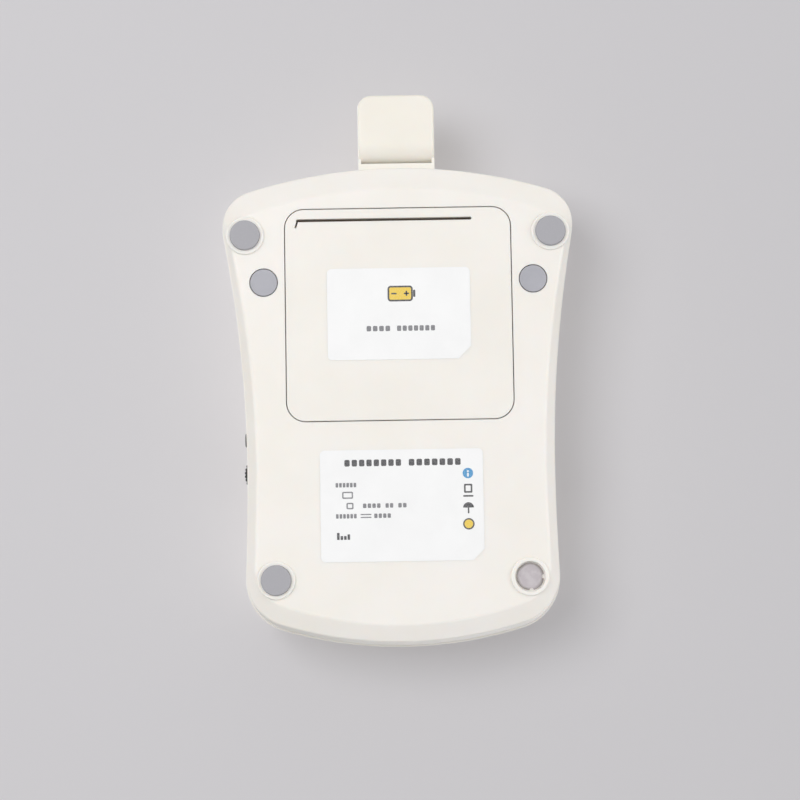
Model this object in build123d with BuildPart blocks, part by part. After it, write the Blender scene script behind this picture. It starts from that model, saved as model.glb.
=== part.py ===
from build123d import *

import os
from math import sqrt

os.makedirs("parts", exist_ok=True)

# A bench monitor for listening to blood flow, standing on its rubber feet. +Z is up, out of the
# display face. +Y runs along the body to the probe hook. The origin is on the surface that it
# stands on, under the middle of the whole length, hook included.

# Body outline, measured from the middle of the body's own length. The shoulder and hip points are
# where a side arc and an end arc would meet if the corner weren't rounded.
body_length = 153.2
waist_half = 48.9
waist_dy = -20.4
shoulder_half = 58.2
shoulder_dy = 66.0
hip_half = 50.35
hip_dy = -66.6
shoulder_round = 12.9
hip_round = 16.4

# Heights of the two shells
foot_proud = 1.0
cup_proud = 0.8
rear_depth = 13.2
front_depth = 21.0
rear_wall = 2.2
front_wall = 2.4

# The sloped band between the flat back panel and the wall, which leans out a little too. A narrow
# facet takes off the edge between them.
band_depth = 2.3
side_wall_lean = 0.5
end_wall_lean = 1.15
side_band = 3.4
top_band = 8.2
low_band = 6.4
panel_edge_round = 1.6
wall_edge_cut = 0.35

# The joint between the shells: a shadow groove, a rim that stands out, and a lip inside
rim = 0.5
groove_height = 0.5
groove_in = 0.45
lip_in = 1.0
lip_height = 2.0
lip_gap = 0.15
front_draft = 2.0
front_edge_round = 5.0
rim_edge_round = 0.3

# Feet
foot_radius = 4.75
foot_clearance = 0.05
foot_edge_round = 0.35
cup_radius = 6.1
cup_pocket = 1.6
cup_edge_round = 0.45
cup_depth = 5.2
shoulder_foot_x = 48.6
shoulder_foot_dy = 53.9
hip_foot_x = 39.9
hip_foot_dy = -55.6
pad_radius = 4.3
pad_thickness = 0.25
pad_bite = 0.7

# Housing screws and the plugs that hide them
screw_x = 42.8
screw_dy = 38.8
plug_radius = 4.3
plug_gap = 0.25
plug_thickness = 2.0
plug_edge_round = 0.2
plug_shoulder = 0.8
screw_seat_depth = 7.2
screw_floor = 2.0
screw_shank_radius = 1.5
screw_head_radius = 2.9
screw_head_height = 2.2
screw_grip = 6.0
screw_clearance = 0.2
driver_recess = 1.2
boss_wall = 1.6
insert_radius = 2.4
front_boss_radius = 4.2

# Battery cover
cover_width = 71.7
cover_length = 67.6
cover_low_dy = -5.6
cover_round = 6.0
cover_gap = 0.3
cover_seat_gap = 0.3
cover_edge_round = 0.25
flex_slot_width = 0.95
flex_slot_from_edge = 3.5
flex_slot_left = 32.3
flex_slot_right = 23.6
flex_hook_length = 2.4
flex_hook_width = 0.6
flex_room = 1.2
tongue_x = 18.0
tongue_width = 10.0
tongue_reach = 3.0
tongue_root = 4.0
tongue_thickness = 1.6
tongue_room = 1.4
snap_width = 14.0
snap_height = 2.0
snap_thickness = 1.4
snap_setback = 1.0
snap_gap = 0.6

# Battery pack and its bay
pack_width = 60.0
pack_length = 46.0
pack_height = 14.0
pack_from_hinge = 14.0
pack_gap = 0.4
pack_wall = 1.0
pack_edge_round = 1.5
cell_gap = 0.5
bay_gap = 0.4
bay_wall = 1.5
pad_pitch = 6.0
pad_width = 3.6
pad_length = 5.0
contact_pad_thickness = 0.3
contact_from_end = 8.0
pin_radius = 0.8
pin_gap = 0.3
pin_clearance = 0.4
block_margin = 3.0

# Stickers
label_thickness = 0.15
label_round = 1.5
cover_label_width = 45.4
cover_label_length = 29.2
cover_label_cut = 4.0
back_label_width = 51.4
back_label_length = 35.2
back_label_cut = 3.5
back_label_dy = -32.6

# Probe hook
hook_width = 24.4
hook_reach = 22.45
hook_strip = 0.65
hook_wall = 3.0
hook_plate = 3.0
hook_lip = 2.8
hook_bend = 5.6
hook_plate_depth = 1.4
hook_strip_depth = 3.7
hook_lip_height = 14.0
hook_tip_round = 4.4
hook_throat_round = 2.4
crevice = 0.45
crevice_depth = 4.5
crevice_web = 0.9
hook_ear_thickness = 2.0
hook_ear_side = 3.0
hook_ear_setback = 4.3
hook_ear_rise = 0.2
hook_edge_round = 0.9
hook_gap = 0.05

# Display
display_dy = 27.0
lens_width = 74.0
lens_length = 56.0
lens_thickness = 1.6
lens_round = 4.0
lens_clearance = 0.1
view_width = 62.0
view_length = 44.0
view_round = 1.5
frame_margin = 4.0
frame_height = 5.5
glass_margin = 2.0
glass_thickness = 1.6
backlight_thickness = 1.2
glass_clearance = 0.1
gasket_in = 1.0
gasket_out = 3.0
ribbon_width = 24.0
ribbon_thickness = 0.3
ribbon_bend = 2.0

# Main board and its posts
board_below_face = 9.9
board_thickness = 1.6
board_in = 4.6
board_top_dy = 66.0
board_low_dy = -31.0
board_clearance = 0.7
post_x = 38.5
post_dys = (60.0, -3.0)
post_radius = 2.5
board_screw_radius = 1.0
board_screw_head_radius = 2.2
board_screw_head_height = 1.3
board_screw_grip = 5.0

# Keys
key_dy = -13.0
key_pitch = 18.0
key_width = 13.0
key_length = 8.0
key_round = 2.0
key_gap = 0.25
key_below_face = 0.2
key_flange = 1.0
key_flange_thickness = 1.0
key_travel = 0.8
key_edge_round = 0.5
dome_stand_off = 0.3
dome_radius = 3.4
dome_base_radius = 5.0
dome_wall = 0.8
mat_thickness = 1.2
mat_margin = 2.5
key_names = ("power_key", "mode_key", "memory_key", "backlight_key")

# Sockets and the volume wheel
port_drop = 3.0
jack_dy = -9.9
jack_nose_radius = 2.2
jack_bore_radius = 1.78
jack_bore_depth = 14.0
jack_proud = 0.7
jack_body_length = 12.0
jack_body_width = 6.0
jack_nose_chamfer = 0.2
port_gap = 0.15
charge_bore_radius = 1.8
charge_bore_depth = 9.0
port_setback = 0.6
charge_pin_radius = 0.5
charge_flush = 0.4
socket_dy = -24.0
socket_radius = 5.0
socket_bore_radius = 3.7
socket_bore_depth = 7.0
socket_length = 12.0
socket_rise = 1.0
socket_nut_across = 14.0
socket_nut_thickness = 2.0
socket_pin_radius = 0.45
socket_pin_ring = 2.0
socket_pin_count = 4
socket_pin_length = 6.0
wheel_dy = -21.1
wheel_radius = 7.5
wheel_thickness = 3.2
wheel_proud = 1.15
wheel_gap = 0.4
wheel_shaft_radius = 1.5
wheel_running_gap = 0.05
wheel_edge_round = 0.4
knurl_count = 40
knurl_radius = 0.32
pot_radius = 3.0
pot_gap = 0.3

# Speaker
speaker_dy = -46.0
speaker_radius = 19.5
speaker_depth = 12.0
speaker_flange = 1.5
speaker_sheet = 0.8
speaker_magnet_radius = 9.0
speaker_magnet_height = 5.0
cone_gap = 0.6
cone_thickness = 0.5
cone_depth = 4.0
mesh_thickness = 0.3
collar_wall = 1.2
collar_height = 4.0
collar_gap = 0.1
grille_hole_radius = 1.2
grille_pitch = 4.5
grille_rings = 3

# Charge light
light_x = 30.0
light_dy = -27.0
light_radius = 1.5
light_flange = 0.8
light_flange_thickness = 1.0
light_chip = 2.4
light_chip_height = 0.8

# Parts on the board's underside
can_length = 24.0
can_width = 18.0
can_height = 2.6
can_x = -14.0
can_dy = -8.0
chip_size = 9.0
chip_height = 1.2
chip_places = ((14.0, -6.0), (26.0, 4.0), (26.0, -16.0))

# Heights worked out from the sizes above
panel_z = foot_proud + cup_proud
part_z = panel_z + rear_depth
front_z = part_z + front_depth
rear_in_z = panel_z + rear_wall
front_in_z = front_z - front_wall
board_top_z = front_z - board_below_face
board_low_z = board_top_z - board_thickness
port_z = board_low_z - port_drop

# Places along the body
low_y = -(rim + body_length + hook_reach) / 2 + rim
top_y = low_y + body_length
mid_y = low_y + body_length / 2
foot_places = [
    (shoulder_foot_x, mid_y + shoulder_foot_dy),
    (-shoulder_foot_x, mid_y + shoulder_foot_dy),
    (hip_foot_x, mid_y + hip_foot_dy),
]
bare_cup = (-hip_foot_x, mid_y + hip_foot_dy)
screw_places = [(screw_x, mid_y + screw_dy), (-screw_x, mid_y + screw_dy)]
post_places = [(side * post_x, mid_y + dy) for side in (1, -1) for dy in post_dys]
cover_low_y = mid_y + cover_low_dy
cover_mid_y = cover_low_y + cover_length / 2
cover_top_y = cover_low_y + cover_length
flex_slot_y = cover_top_y - flex_slot_from_edge
pack_low_y = cover_low_y + pack_from_hinge
pack_mid_y = pack_low_y + pack_length / 2
pack_z = rear_in_z + pack_gap
pack_top_z = pack_z + pack_height
bay_top_z = pack_top_z + bay_gap
pin_places = [(i * pad_pitch, pack_low_y + pack_length - contact_from_end) for i in (-1, 0, 1)]
display_y = mid_y + display_dy
key_y = mid_y + key_dy
key_xs = [(i - (len(key_names) - 1) / 2) * key_pitch for i in range(len(key_names))]
speaker_y = mid_y + speaker_dy
jack_y = mid_y + jack_dy
wheel_y = mid_y + wheel_dy
socket_y = mid_y + socket_dy
socket_z = port_z + socket_rise
light_y = mid_y + light_dy


def side_x(dy):
    """Half width of the rear shell at a height dy along the body, from its side arc."""
    reach_x = shoulder_half - waist_half if dy > waist_dy else hip_half - waist_half
    reach_y = shoulder_dy - waist_dy if dy > waist_dy else waist_dy - hip_dy
    arc = (reach_x**2 + reach_y**2) / (2 * reach_x)
    return waist_half + arc - sqrt(arc**2 - (dy - waist_dy) ** 2)


def waisted_outline(side_in=0.0, top_in=0.0, low_in=0.0, round_in=0.0):
    """The body's outline as a face, drawn in by a distance at its sides, its ends and its corners."""
    waist = (waist_half - side_in, mid_y + waist_dy)
    shoulder = (shoulder_half - side_in, mid_y + shoulder_dy - top_in)
    hip = (hip_half - side_in, mid_y + hip_dy + low_in)
    crown = (0, top_y - top_in)
    base = (0, low_y + low_in)
    with BuildSketch(Plane.XY) as outline:
        with BuildLine():
            TangentArc(waist, shoulder, tangent=(0, 1))
            ThreePointArc(shoulder, crown, (-shoulder[0], shoulder[1]))
            TangentArc((-waist[0], waist[1]), (-shoulder[0], shoulder[1]), tangent=(0, 1))
            TangentArc(waist, hip, tangent=(0, -1))
            ThreePointArc(hip, base, (-hip[0], hip[1]))
            TangentArc((-waist[0], waist[1]), (-hip[0], hip[1]), tangent=(0, -1))
        make_face()
        fillet(outline.vertices().group_by(Axis.Y)[0], hip_round - round_in)
        fillet(outline.vertices().group_by(Axis.Y)[-1], shoulder_round - round_in)
    return outline.sketch


def inset_outline(distance):
    """The body's outline as a face, drawn in evenly all round."""
    return waisted_outline(distance, distance, distance, distance)


def band_top_outline(distance):
    """The outline at the flat panel's edge, drawn in by a distance."""
    return waisted_outline(
        side_band + distance, top_band + distance, low_band + distance, side_band + distance
    )


def wall_foot_outline(distance):
    """The outline where the wall starts, drawn in by a distance."""
    return waisted_outline(
        side_wall_lean + distance,
        end_wall_lean + distance,
        end_wall_lean + distance,
        end_wall_lean + distance,
    )


# Places along the side walls
wheel_x = side_x(wheel_dy) + rim + wheel_proud - wheel_radius
jack_tip_x = side_x(jack_dy) + rim + jack_proud
port_face_x = side_x(jack_dy) + rim - front_wall - port_setback
charge_tip_x = side_x(jack_dy) + rim - charge_flush
socket_tip_x = side_x(socket_dy) + rim - charge_flush
socket_nut_x = side_x(socket_dy) + rim - front_wall - port_setback
socket_floor_x = socket_tip_x - socket_bore_depth


# Rear shell: flat panel, sloped band, side wall, foot cups, screw wells and battery bay
bay_half_x = pack_width / 2 + bay_gap
bay_low_y = pack_low_y - bay_gap
bay_high_y = pack_low_y + pack_length + bay_gap
tongue_swing = sqrt(tongue_reach**2 + (rear_wall + cover_seat_gap + tongue_thickness) ** 2)
tongue_bay_low_y = cover_low_y - tongue_reach - tongue_room
tongue_bay_top_z = panel_z + tongue_swing + tongue_room
plug_hole_radius = plug_radius + plug_gap
screw_well_radius = plug_hole_radius - plug_shoulder
screw_seat_z = panel_z + screw_seat_depth
rear_boss_top_z = screw_seat_z + screw_floor
hook_arm_z = panel_z + hook_strip_depth
wall_foot_z = panel_z + band_depth + wall_edge_cut
wall_foot_in_z = wall_foot_z + rear_wall

with BuildPart() as rear_housing:
    with BuildSketch(Plane.XY.offset(panel_z)):
        add(band_top_outline(0))
    with BuildSketch(Plane.XY.offset(panel_z + band_depth)):
        add(wall_foot_outline(wall_edge_cut))
    loft(ruled=True)
    with BuildSketch(Plane.XY.offset(panel_z + band_depth)):
        add(wall_foot_outline(wall_edge_cut))
    with BuildSketch(Plane.XY.offset(wall_foot_z)):
        add(wall_foot_outline(0))
    loft(ruled=True)
    with BuildSketch(Plane.XY.offset(wall_foot_z)):
        add(wall_foot_outline(0))
    with BuildSketch(Plane.XY.offset(part_z)):
        add(waisted_outline())
    loft(ruled=True)
    fillet(rear_housing.faces().sort_by(Axis.Z)[0].edges(), panel_edge_round)
    with BuildSketch(Plane.XY.offset(part_z - groove_height)):
        add(waisted_outline())
        add(inset_outline(groove_in), mode=Mode.SUBTRACT)
    extrude(amount=groove_height, mode=Mode.SUBTRACT)
    with BuildSketch(Plane.XY.offset(part_z)):
        add(inset_outline(lip_in))
    extrude(amount=lip_height)
    with BuildSketch(Plane.XY.offset(rear_in_z)):
        add(band_top_outline(rear_wall))
    with BuildSketch(Plane.XY.offset(wall_foot_in_z)):
        add(wall_foot_outline(rear_wall))
    loft(ruled=True, mode=Mode.SUBTRACT)
    with BuildSketch(Plane.XY.offset(wall_foot_in_z)):
        add(wall_foot_outline(rear_wall))
    with BuildSketch(Plane.XY.offset(part_z)):
        add(inset_outline(rear_wall))
    loft(ruled=True, mode=Mode.SUBTRACT)
    with BuildSketch(Plane.XY.offset(part_z)):
        add(inset_outline(rear_wall))
    extrude(amount=lip_height, mode=Mode.SUBTRACT)

    # Foot cups
    with BuildSketch(Plane.XY.offset(foot_proud)):
        with Locations(*foot_places, bare_cup):
            Circle(cup_radius)
    extrude(amount=cup_depth)
    cup_faces = rear_housing.faces().sort_by(Axis.Z)[:4]
    fillet(cup_faces.edges(), cup_edge_round)
    with BuildSketch(Plane.XY.offset(foot_proud)):
        with Locations(*foot_places, bare_cup):
            Circle(foot_radius + foot_clearance)
    extrude(amount=cup_pocket, mode=Mode.SUBTRACT)

    # Screw wells
    with BuildSketch(Plane.XY.offset(panel_z + rear_wall / 2)):
        with Locations(*screw_places):
            Circle(plug_hole_radius + boss_wall)
    extrude(amount=rear_boss_top_z - panel_z - rear_wall / 2)
    with BuildSketch(Plane.XY.offset(panel_z)):
        with Locations(*screw_places):
            Circle(plug_hole_radius)
    extrude(amount=plug_thickness, mode=Mode.SUBTRACT)
    with BuildSketch(Plane.XY.offset(panel_z)):
        with Locations(*screw_places):
            Circle(screw_well_radius)
    extrude(amount=screw_seat_depth, mode=Mode.SUBTRACT)
    with BuildSketch(Plane.XY.offset(panel_z)):
        with Locations(*screw_places):
            Circle(screw_shank_radius + screw_clearance)
    extrude(amount=screw_seat_depth + screw_floor, mode=Mode.SUBTRACT)

    # Battery bay: a frame round the cover's opening, the deep well and the shallow tongue room
    with BuildSketch(Plane.XY.offset(panel_z + rear_wall / 2)):
        with Locations((0, cover_mid_y)):
            RectangleRounded(
                cover_width + 2 * (cover_gap + bay_wall),
                cover_length + 2 * (cover_gap + bay_wall),
                cover_round + cover_gap + bay_wall,
            )
    extrude(amount=rear_wall / 2 + cover_seat_gap + bay_wall)
    with Locations((0, (bay_low_y + bay_high_y) / 2, rear_in_z)):
        Box(
            2 * (bay_half_x + bay_wall),
            bay_high_y - bay_low_y + 2 * bay_wall,
            bay_top_z + bay_wall - rear_in_z,
            align=(Align.CENTER, Align.CENTER, Align.MIN),
        )
    with Locations((0, tongue_bay_low_y - bay_wall, rear_in_z)):
        Box(
            2 * (bay_half_x + bay_wall),
            bay_low_y - tongue_bay_low_y + bay_wall,
            tongue_bay_top_z + bay_wall - rear_in_z,
            align=(Align.CENTER, Align.MIN, Align.MIN),
        )
    with BuildSketch(Plane.XY.offset(panel_z)):
        with Locations((0, cover_mid_y)):
            RectangleRounded(
                cover_width + 2 * cover_gap, cover_length + 2 * cover_gap, cover_round + cover_gap
            )
    extrude(amount=rear_wall + cover_seat_gap, mode=Mode.SUBTRACT)
    with Locations((0, (bay_low_y + bay_high_y) / 2, rear_in_z)):
        Box(
            2 * bay_half_x,
            bay_high_y - bay_low_y,
            bay_top_z - rear_in_z,
            align=(Align.CENTER, Align.CENTER, Align.MIN),
            mode=Mode.SUBTRACT,
        )
    with Locations((0, tongue_bay_low_y, rear_in_z)):
        Box(
            2 * bay_half_x,
            bay_low_y - tongue_bay_low_y,
            tongue_bay_top_z - rear_in_z,
            align=(Align.CENTER, Align.MIN, Align.MIN),
            mode=Mode.SUBTRACT,
        )
    with Locations(((flex_slot_left - flex_slot_right) / 2, flex_slot_y, rear_in_z)):
        Box(
            flex_slot_left + flex_slot_right,
            flex_slot_width + 2 * flex_room,
            2 * (cover_seat_gap + 2 * bay_wall),
            mode=Mode.SUBTRACT,
        )
    with Locations((0, flex_slot_y, rear_in_z)):
        Box(
            snap_width + 2 * snap_gap,
            flex_slot_from_edge + cover_gap,
            snap_height + snap_gap,
            align=(Align.CENTER, Align.MIN, Align.MIN),
            mode=Mode.SUBTRACT,
        )
    with BuildSketch(Plane.XY.offset(bay_top_z)):
        with Locations(*pin_places):
            Circle(pin_radius + pin_clearance)
    extrude(amount=bay_wall, mode=Mode.SUBTRACT)

    # Notch that the hook's arm sits in
    with Locations((0, top_y, hook_arm_z)):
        Box(
            hook_width + 2 * hook_gap,
            2 * (rear_wall + top_band),
            part_z - hook_arm_z,
            align=(Align.CENTER, Align.CENTER, Align.MIN),
            mode=Mode.SUBTRACT,
        )
rear_housing.part.label = "rear_housing"
export_step(rear_housing.part, "parts/rear_housing.step")


# Front shell: drafted wall with a rim, display window, key openings, grille, posts and screw bosses
front_cavity = front_wall - rim

with BuildPart() as front_housing:
    with BuildSketch(Plane.XY.offset(part_z)):
        add(inset_outline(-rim))
    extrude(amount=front_depth, taper=front_draft)
    fillet(front_housing.faces().sort_by(Axis.Z)[-1].edges(), front_edge_round)
    fillet(front_housing.faces().sort_by(Axis.Z)[0].edges(), rim_edge_round)
    with BuildSketch(Plane.XY.offset(part_z)):
        add(inset_outline(front_cavity))
    extrude(amount=front_depth - front_wall, taper=front_draft, mode=Mode.SUBTRACT)
    with BuildSketch(Plane.XY.offset(part_z)):
        add(inset_outline(lip_in - lip_gap))
    extrude(amount=lip_height + lip_gap, mode=Mode.SUBTRACT)

    # Screw bosses, board posts and the speaker's collar
    with BuildSketch(Plane.XY.offset(rear_boss_top_z)):
        with Locations(*screw_places):
            Circle(front_boss_radius)
    extrude(amount=front_in_z - rear_boss_top_z)
    with BuildSketch(Plane.XY.offset(rear_boss_top_z)):
        with Locations(*screw_places):
            Circle(insert_radius)
    extrude(amount=screw_grip, mode=Mode.SUBTRACT)
    with BuildSketch(Plane.XY.offset(board_top_z)):
        with Locations(*post_places):
            Circle(post_radius)
    extrude(amount=front_in_z - board_top_z)
    with BuildSketch(Plane.XY.offset(board_top_z)):
        with Locations(*post_places):
            Circle(board_screw_radius)
    extrude(amount=board_screw_grip, mode=Mode.SUBTRACT)
    with BuildSketch(Plane.XY.offset(front_in_z - collar_height)):
        with Locations((0, speaker_y)):
            Circle(speaker_radius + collar_gap + collar_wall)
            Circle(speaker_radius + collar_gap, mode=Mode.SUBTRACT)
    extrude(amount=collar_height)

    # Display window and the recess that its lens is set in
    with BuildSketch(Plane.XY.offset(front_z - lens_thickness)):
        with Locations((0, display_y)):
            RectangleRounded(lens_width + 2 * lens_clearance, lens_length + 2 * lens_clearance, lens_round)
    extrude(amount=lens_thickness, mode=Mode.SUBTRACT)
    with BuildSketch(Plane.XY.offset(front_in_z)):
        with Locations((0, display_y)):
            RectangleRounded(view_width, view_length, view_round)
    extrude(amount=front_wall, mode=Mode.SUBTRACT)

    # Key openings, charge light hole and speaker grille
    with BuildSketch(Plane.XY.offset(front_in_z)):
        with Locations(*[(x, key_y) for x in key_xs]):
            RectangleRounded(key_width + 2 * key_gap, key_length + 2 * key_gap, key_round + key_gap)
        with Locations((light_x, light_y)):
            Circle(light_radius)
        with Locations((0, speaker_y)):
            Circle(grille_hole_radius)
            for ring in range(1, grille_rings + 1):
                with PolarLocations(ring * grille_pitch, 6 * ring):
                    Circle(grille_hole_radius)
    extrude(amount=front_wall, mode=Mode.SUBTRACT)

    # Side openings: phone jack, charge jack, probe socket and volume wheel
    with BuildSketch(Plane.YZ):
        with Locations((jack_y, port_z)):
            Circle(jack_nose_radius + port_gap)
    extrude(amount=shoulder_half, mode=Mode.SUBTRACT)
    with BuildSketch(Plane.YZ):
        with Locations((jack_y, port_z)):
            Circle(jack_nose_radius + port_gap)
    extrude(amount=-shoulder_half, mode=Mode.SUBTRACT)
    with BuildSketch(Plane.YZ):
        with Locations((socket_y, socket_z)):
            Circle(socket_radius + port_gap)
    extrude(amount=-shoulder_half, mode=Mode.SUBTRACT)
    with Locations((wheel_x, wheel_y, port_z)):
        Cylinder(wheel_radius + wheel_gap, wheel_thickness + 2 * wheel_gap, mode=Mode.SUBTRACT)
front_housing.part.label = "front_housing"
export_step(front_housing.part, "parts/front_housing.step")


# Battery cover: hooked in by two tongues at its lower edge, with a slot that lets its top edge flex
with BuildPart() as battery_cover:
    with BuildSketch(Plane.XY.offset(panel_z)):
        with Locations((0, cover_mid_y)):
            RectangleRounded(cover_width, cover_length, cover_round)
    extrude(amount=rear_wall)
    fillet(battery_cover.faces().sort_by(Axis.Z)[0].edges(), cover_edge_round)
    with BuildSketch(Plane.XY.offset(panel_z)):
        with Locations(((flex_slot_left - flex_slot_right) / 2, flex_slot_y)):
            SlotOverall(flex_slot_left + flex_slot_right, flex_slot_width)
        with BuildLine():
            Line(
                (flex_slot_left - flex_slot_width / 2, flex_slot_y),
                (flex_slot_left + flex_slot_width / 4, flex_slot_y - flex_hook_length),
            )
        trace(line_width=flex_hook_width)
    extrude(amount=rear_wall, mode=Mode.SUBTRACT)
    with Locations(*[(side * tongue_x, cover_low_y + tongue_root, rear_in_z) for side in (1, -1)]):
        Box(
            tongue_width,
            tongue_root - cover_gap,
            cover_seat_gap + tongue_thickness,
            align=(Align.CENTER, Align.MAX, Align.MIN),
        )
    with Locations(
        *[(side * tongue_x, cover_low_y + tongue_root, rear_in_z + cover_seat_gap) for side in (1, -1)]
    ):
        Box(
            tongue_width,
            tongue_root + tongue_reach,
            tongue_thickness,
            align=(Align.CENTER, Align.MAX, Align.MIN),
        )
    with Locations((0, cover_top_y - snap_setback, rear_in_z)):
        Box(
            snap_width,
            snap_thickness,
            snap_height,
            align=(Align.CENTER, Align.MAX, Align.MIN),
        )
battery_cover.part.label = "battery_cover"
export_step(battery_cover.part, "parts/battery_cover.step")


# Stickers, each with the corner by its low edge cut off
with BuildPart() as cover_label:
    with BuildSketch(Plane.XY.offset(panel_z - label_thickness)) as cover_label_face:
        with Locations((0, cover_mid_y)):
            Rectangle(cover_label_width, cover_label_length)
        chamfer(cover_label_face.vertices().sort_by(Axis((0, 0, 0), (1, 1, 0)))[0], cover_label_cut)
        fillet(cover_label_face.vertices().sort_by(Axis((0, 0, 0), (1, 1, 0)))[2:], label_round)
    extrude(amount=label_thickness)
cover_label.part.label = "cover_label"
export_step(cover_label.part, "parts/cover_label.step")

with BuildPart() as back_label:
    with BuildSketch(Plane.XY.offset(panel_z - label_thickness)) as back_label_face:
        with Locations((0, mid_y + back_label_dy)):
            Rectangle(back_label_width, back_label_length)
        chamfer(back_label_face.vertices().sort_by(Axis((0, 0, 0), (1, 1, 0)))[0], back_label_cut)
        fillet(back_label_face.vertices().sort_by(Axis((0, 0, 0), (1, 1, 0)))[2:], label_round)
    extrude(amount=label_thickness)
back_label.part.label = "back_label"
export_step(back_label.part, "parts/back_label.step")


# Rubber feet, and the glue pad that is left in the fourth cup
with BuildPart() as rubber_feet:
    with BuildSketch(Plane.XY):
        with Locations(*foot_places):
            Circle(foot_radius)
    extrude(amount=foot_proud + cup_pocket)
    fillet(rubber_feet.edges().group_by(Axis.Z)[0], foot_edge_round)
rubber_feet.part.label = "rubber_feet"
export_step(rubber_feet.part, "parts/rubber_feet.step")

with BuildPart() as foot_glue_pad:
    with BuildSketch(Plane.XY.offset(foot_proud + cup_pocket - pad_thickness)):
        with Locations(bare_cup):
            Circle(pad_radius)
        with Locations((bare_cup[0] - pad_bite / 2, bare_cup[1] - pad_radius)):
            Circle(pad_bite, mode=Mode.SUBTRACT)
        with Locations((bare_cup[0] - pad_radius, bare_cup[1])):
            Circle(pad_bite, mode=Mode.SUBTRACT)
    extrude(amount=pad_thickness)
foot_glue_pad.part.label = "foot_glue_pad"
export_step(foot_glue_pad.part, "parts/foot_glue_pad.step")


# Screw plugs, housing screws and the brass inserts that they turn into
with BuildPart() as screw_plugs:
    with BuildSketch(Plane.XY.offset(panel_z)):
        with Locations(*screw_places):
            Circle(plug_radius)
    extrude(amount=plug_thickness)
    fillet(screw_plugs.edges().group_by(Axis.Z)[0], plug_edge_round)
screw_plugs.part.label = "screw_plugs"
export_step(screw_plugs.part, "parts/screw_plugs.step")

with BuildPart() as housing_screws:
    with BuildSketch(Plane.XY.offset(screw_seat_z - screw_head_height)):
        with Locations(*screw_places):
            Circle(screw_head_radius)
    extrude(amount=screw_head_height)
    fillet(housing_screws.edges().group_by(Axis.Z)[0], screw_head_height / 3)
    with BuildSketch(Plane.XY.offset(screw_seat_z)):
        with Locations(*screw_places):
            Circle(screw_shank_radius)
    extrude(amount=screw_floor + screw_grip)
    with BuildSketch(Plane.XY.offset(screw_seat_z - screw_head_height)):
        with Locations(*screw_places):
            Rectangle(2 * screw_shank_radius, screw_shank_radius / 2)
            Rectangle(screw_shank_radius / 2, 2 * screw_shank_radius)
    extrude(amount=driver_recess, mode=Mode.SUBTRACT)
housing_screws.part.label = "housing_screws"
export_step(housing_screws.part, "parts/housing_screws.step")

with BuildPart() as screw_inserts:
    with BuildSketch(Plane.XY.offset(rear_boss_top_z)):
        with Locations(*screw_places):
            Circle(insert_radius)
            Circle(screw_shank_radius, mode=Mode.SUBTRACT)
    extrude(amount=screw_grip)
screw_inserts.part.label = "screw_inserts"
export_step(screw_inserts.part, "parts/screw_inserts.step")


# Probe hook: an arm held between the shells, a wall that bends into a plate, and a lip at the tip
hook_plate_z = panel_z + hook_plate_depth
hook_tip_y = top_y + hook_reach
hook_arm_y = top_y - rear_wall - top_band
hook_strip_y = top_y + hook_strip
hook_wall_y = hook_strip_y + crevice
hook_neck_z = hook_arm_z + crevice_depth
hook_lip_z = hook_plate_z + hook_lip_height
throat_low_y = hook_wall_y + hook_wall
throat_high_y = hook_tip_y - hook_lip

with BuildPart() as probe_hook:
    with BuildSketch(Plane.YZ) as hook_profile:
        with Locations((hook_wall_y, hook_plate_z)):
            Rectangle(hook_tip_y - hook_wall_y, hook_lip_height, align=Align.MIN)
        fillet(hook_profile.vertices().group_by(Axis.Y)[0].sort_by(Axis.X)[0], hook_bend)
        with Locations(((throat_low_y + throat_high_y) / 2, hook_lip_z)):
            RectangleRounded(
                throat_high_y - throat_low_y,
                2 * (hook_lip_height - hook_plate),
                hook_throat_round,
                mode=Mode.SUBTRACT,
            )
        with Locations((hook_wall_y, part_z)):
            Rectangle(hook_wall, hook_lip_height, align=Align.MIN, mode=Mode.SUBTRACT)
        with Locations((hook_arm_y + hook_gap, hook_arm_z + hook_gap)):
            Rectangle(
                hook_strip_y - hook_arm_y - hook_gap, part_z - hook_arm_z - hook_gap, align=Align.MIN
            )
        with Locations((hook_strip_y, hook_neck_z)):
            Rectangle(crevice, part_z - hook_neck_z, align=Align.MIN)
    extrude(amount=hook_width / 2, both=True)
    lip_top = probe_hook.faces().sort_by(Axis.Z)[-1]
    fillet(lip_top.edges().filter_by(Axis.X), hook_lip / 2 - hook_gap)
    with BuildSketch(Plane.XY.offset(hook_plate_z)) as hook_plan:
        with Locations((0, hook_arm_y)):
            Rectangle(hook_width, hook_tip_y - hook_arm_y, align=(Align.CENTER, Align.MIN))
        fillet(hook_plan.vertices().group_by(Axis.Y)[-1], hook_tip_round)
    extrude(amount=hook_lip_height, mode=Mode.INTERSECT)
    fillet(probe_hook.faces().sort_by(Axis.Z)[0].edges().filter_by(Axis.X, reverse=True), hook_edge_round)
    with Locations(
        *[(side * (hook_width - crevice_web) / 2, hook_strip_y, hook_arm_z + hook_gap) for side in (1, -1)]
    ):
        Box(
            crevice_web,
            hook_bend / 2,
            crevice_depth,
            align=(Align.CENTER, Align.MIN, Align.MIN),
        )
    with Locations((0, top_y - hook_ear_setback, wall_foot_in_z + hook_ear_rise)):
        Box(
            hook_width + 2 * hook_ear_side,
            hook_ear_thickness,
            part_z - wall_foot_in_z - hook_ear_rise,
            align=(Align.CENTER, Align.MAX, Align.MIN),
        )
probe_hook.part.label = "probe_hook"
export_step(probe_hook.part, "parts/probe_hook.step")


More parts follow.
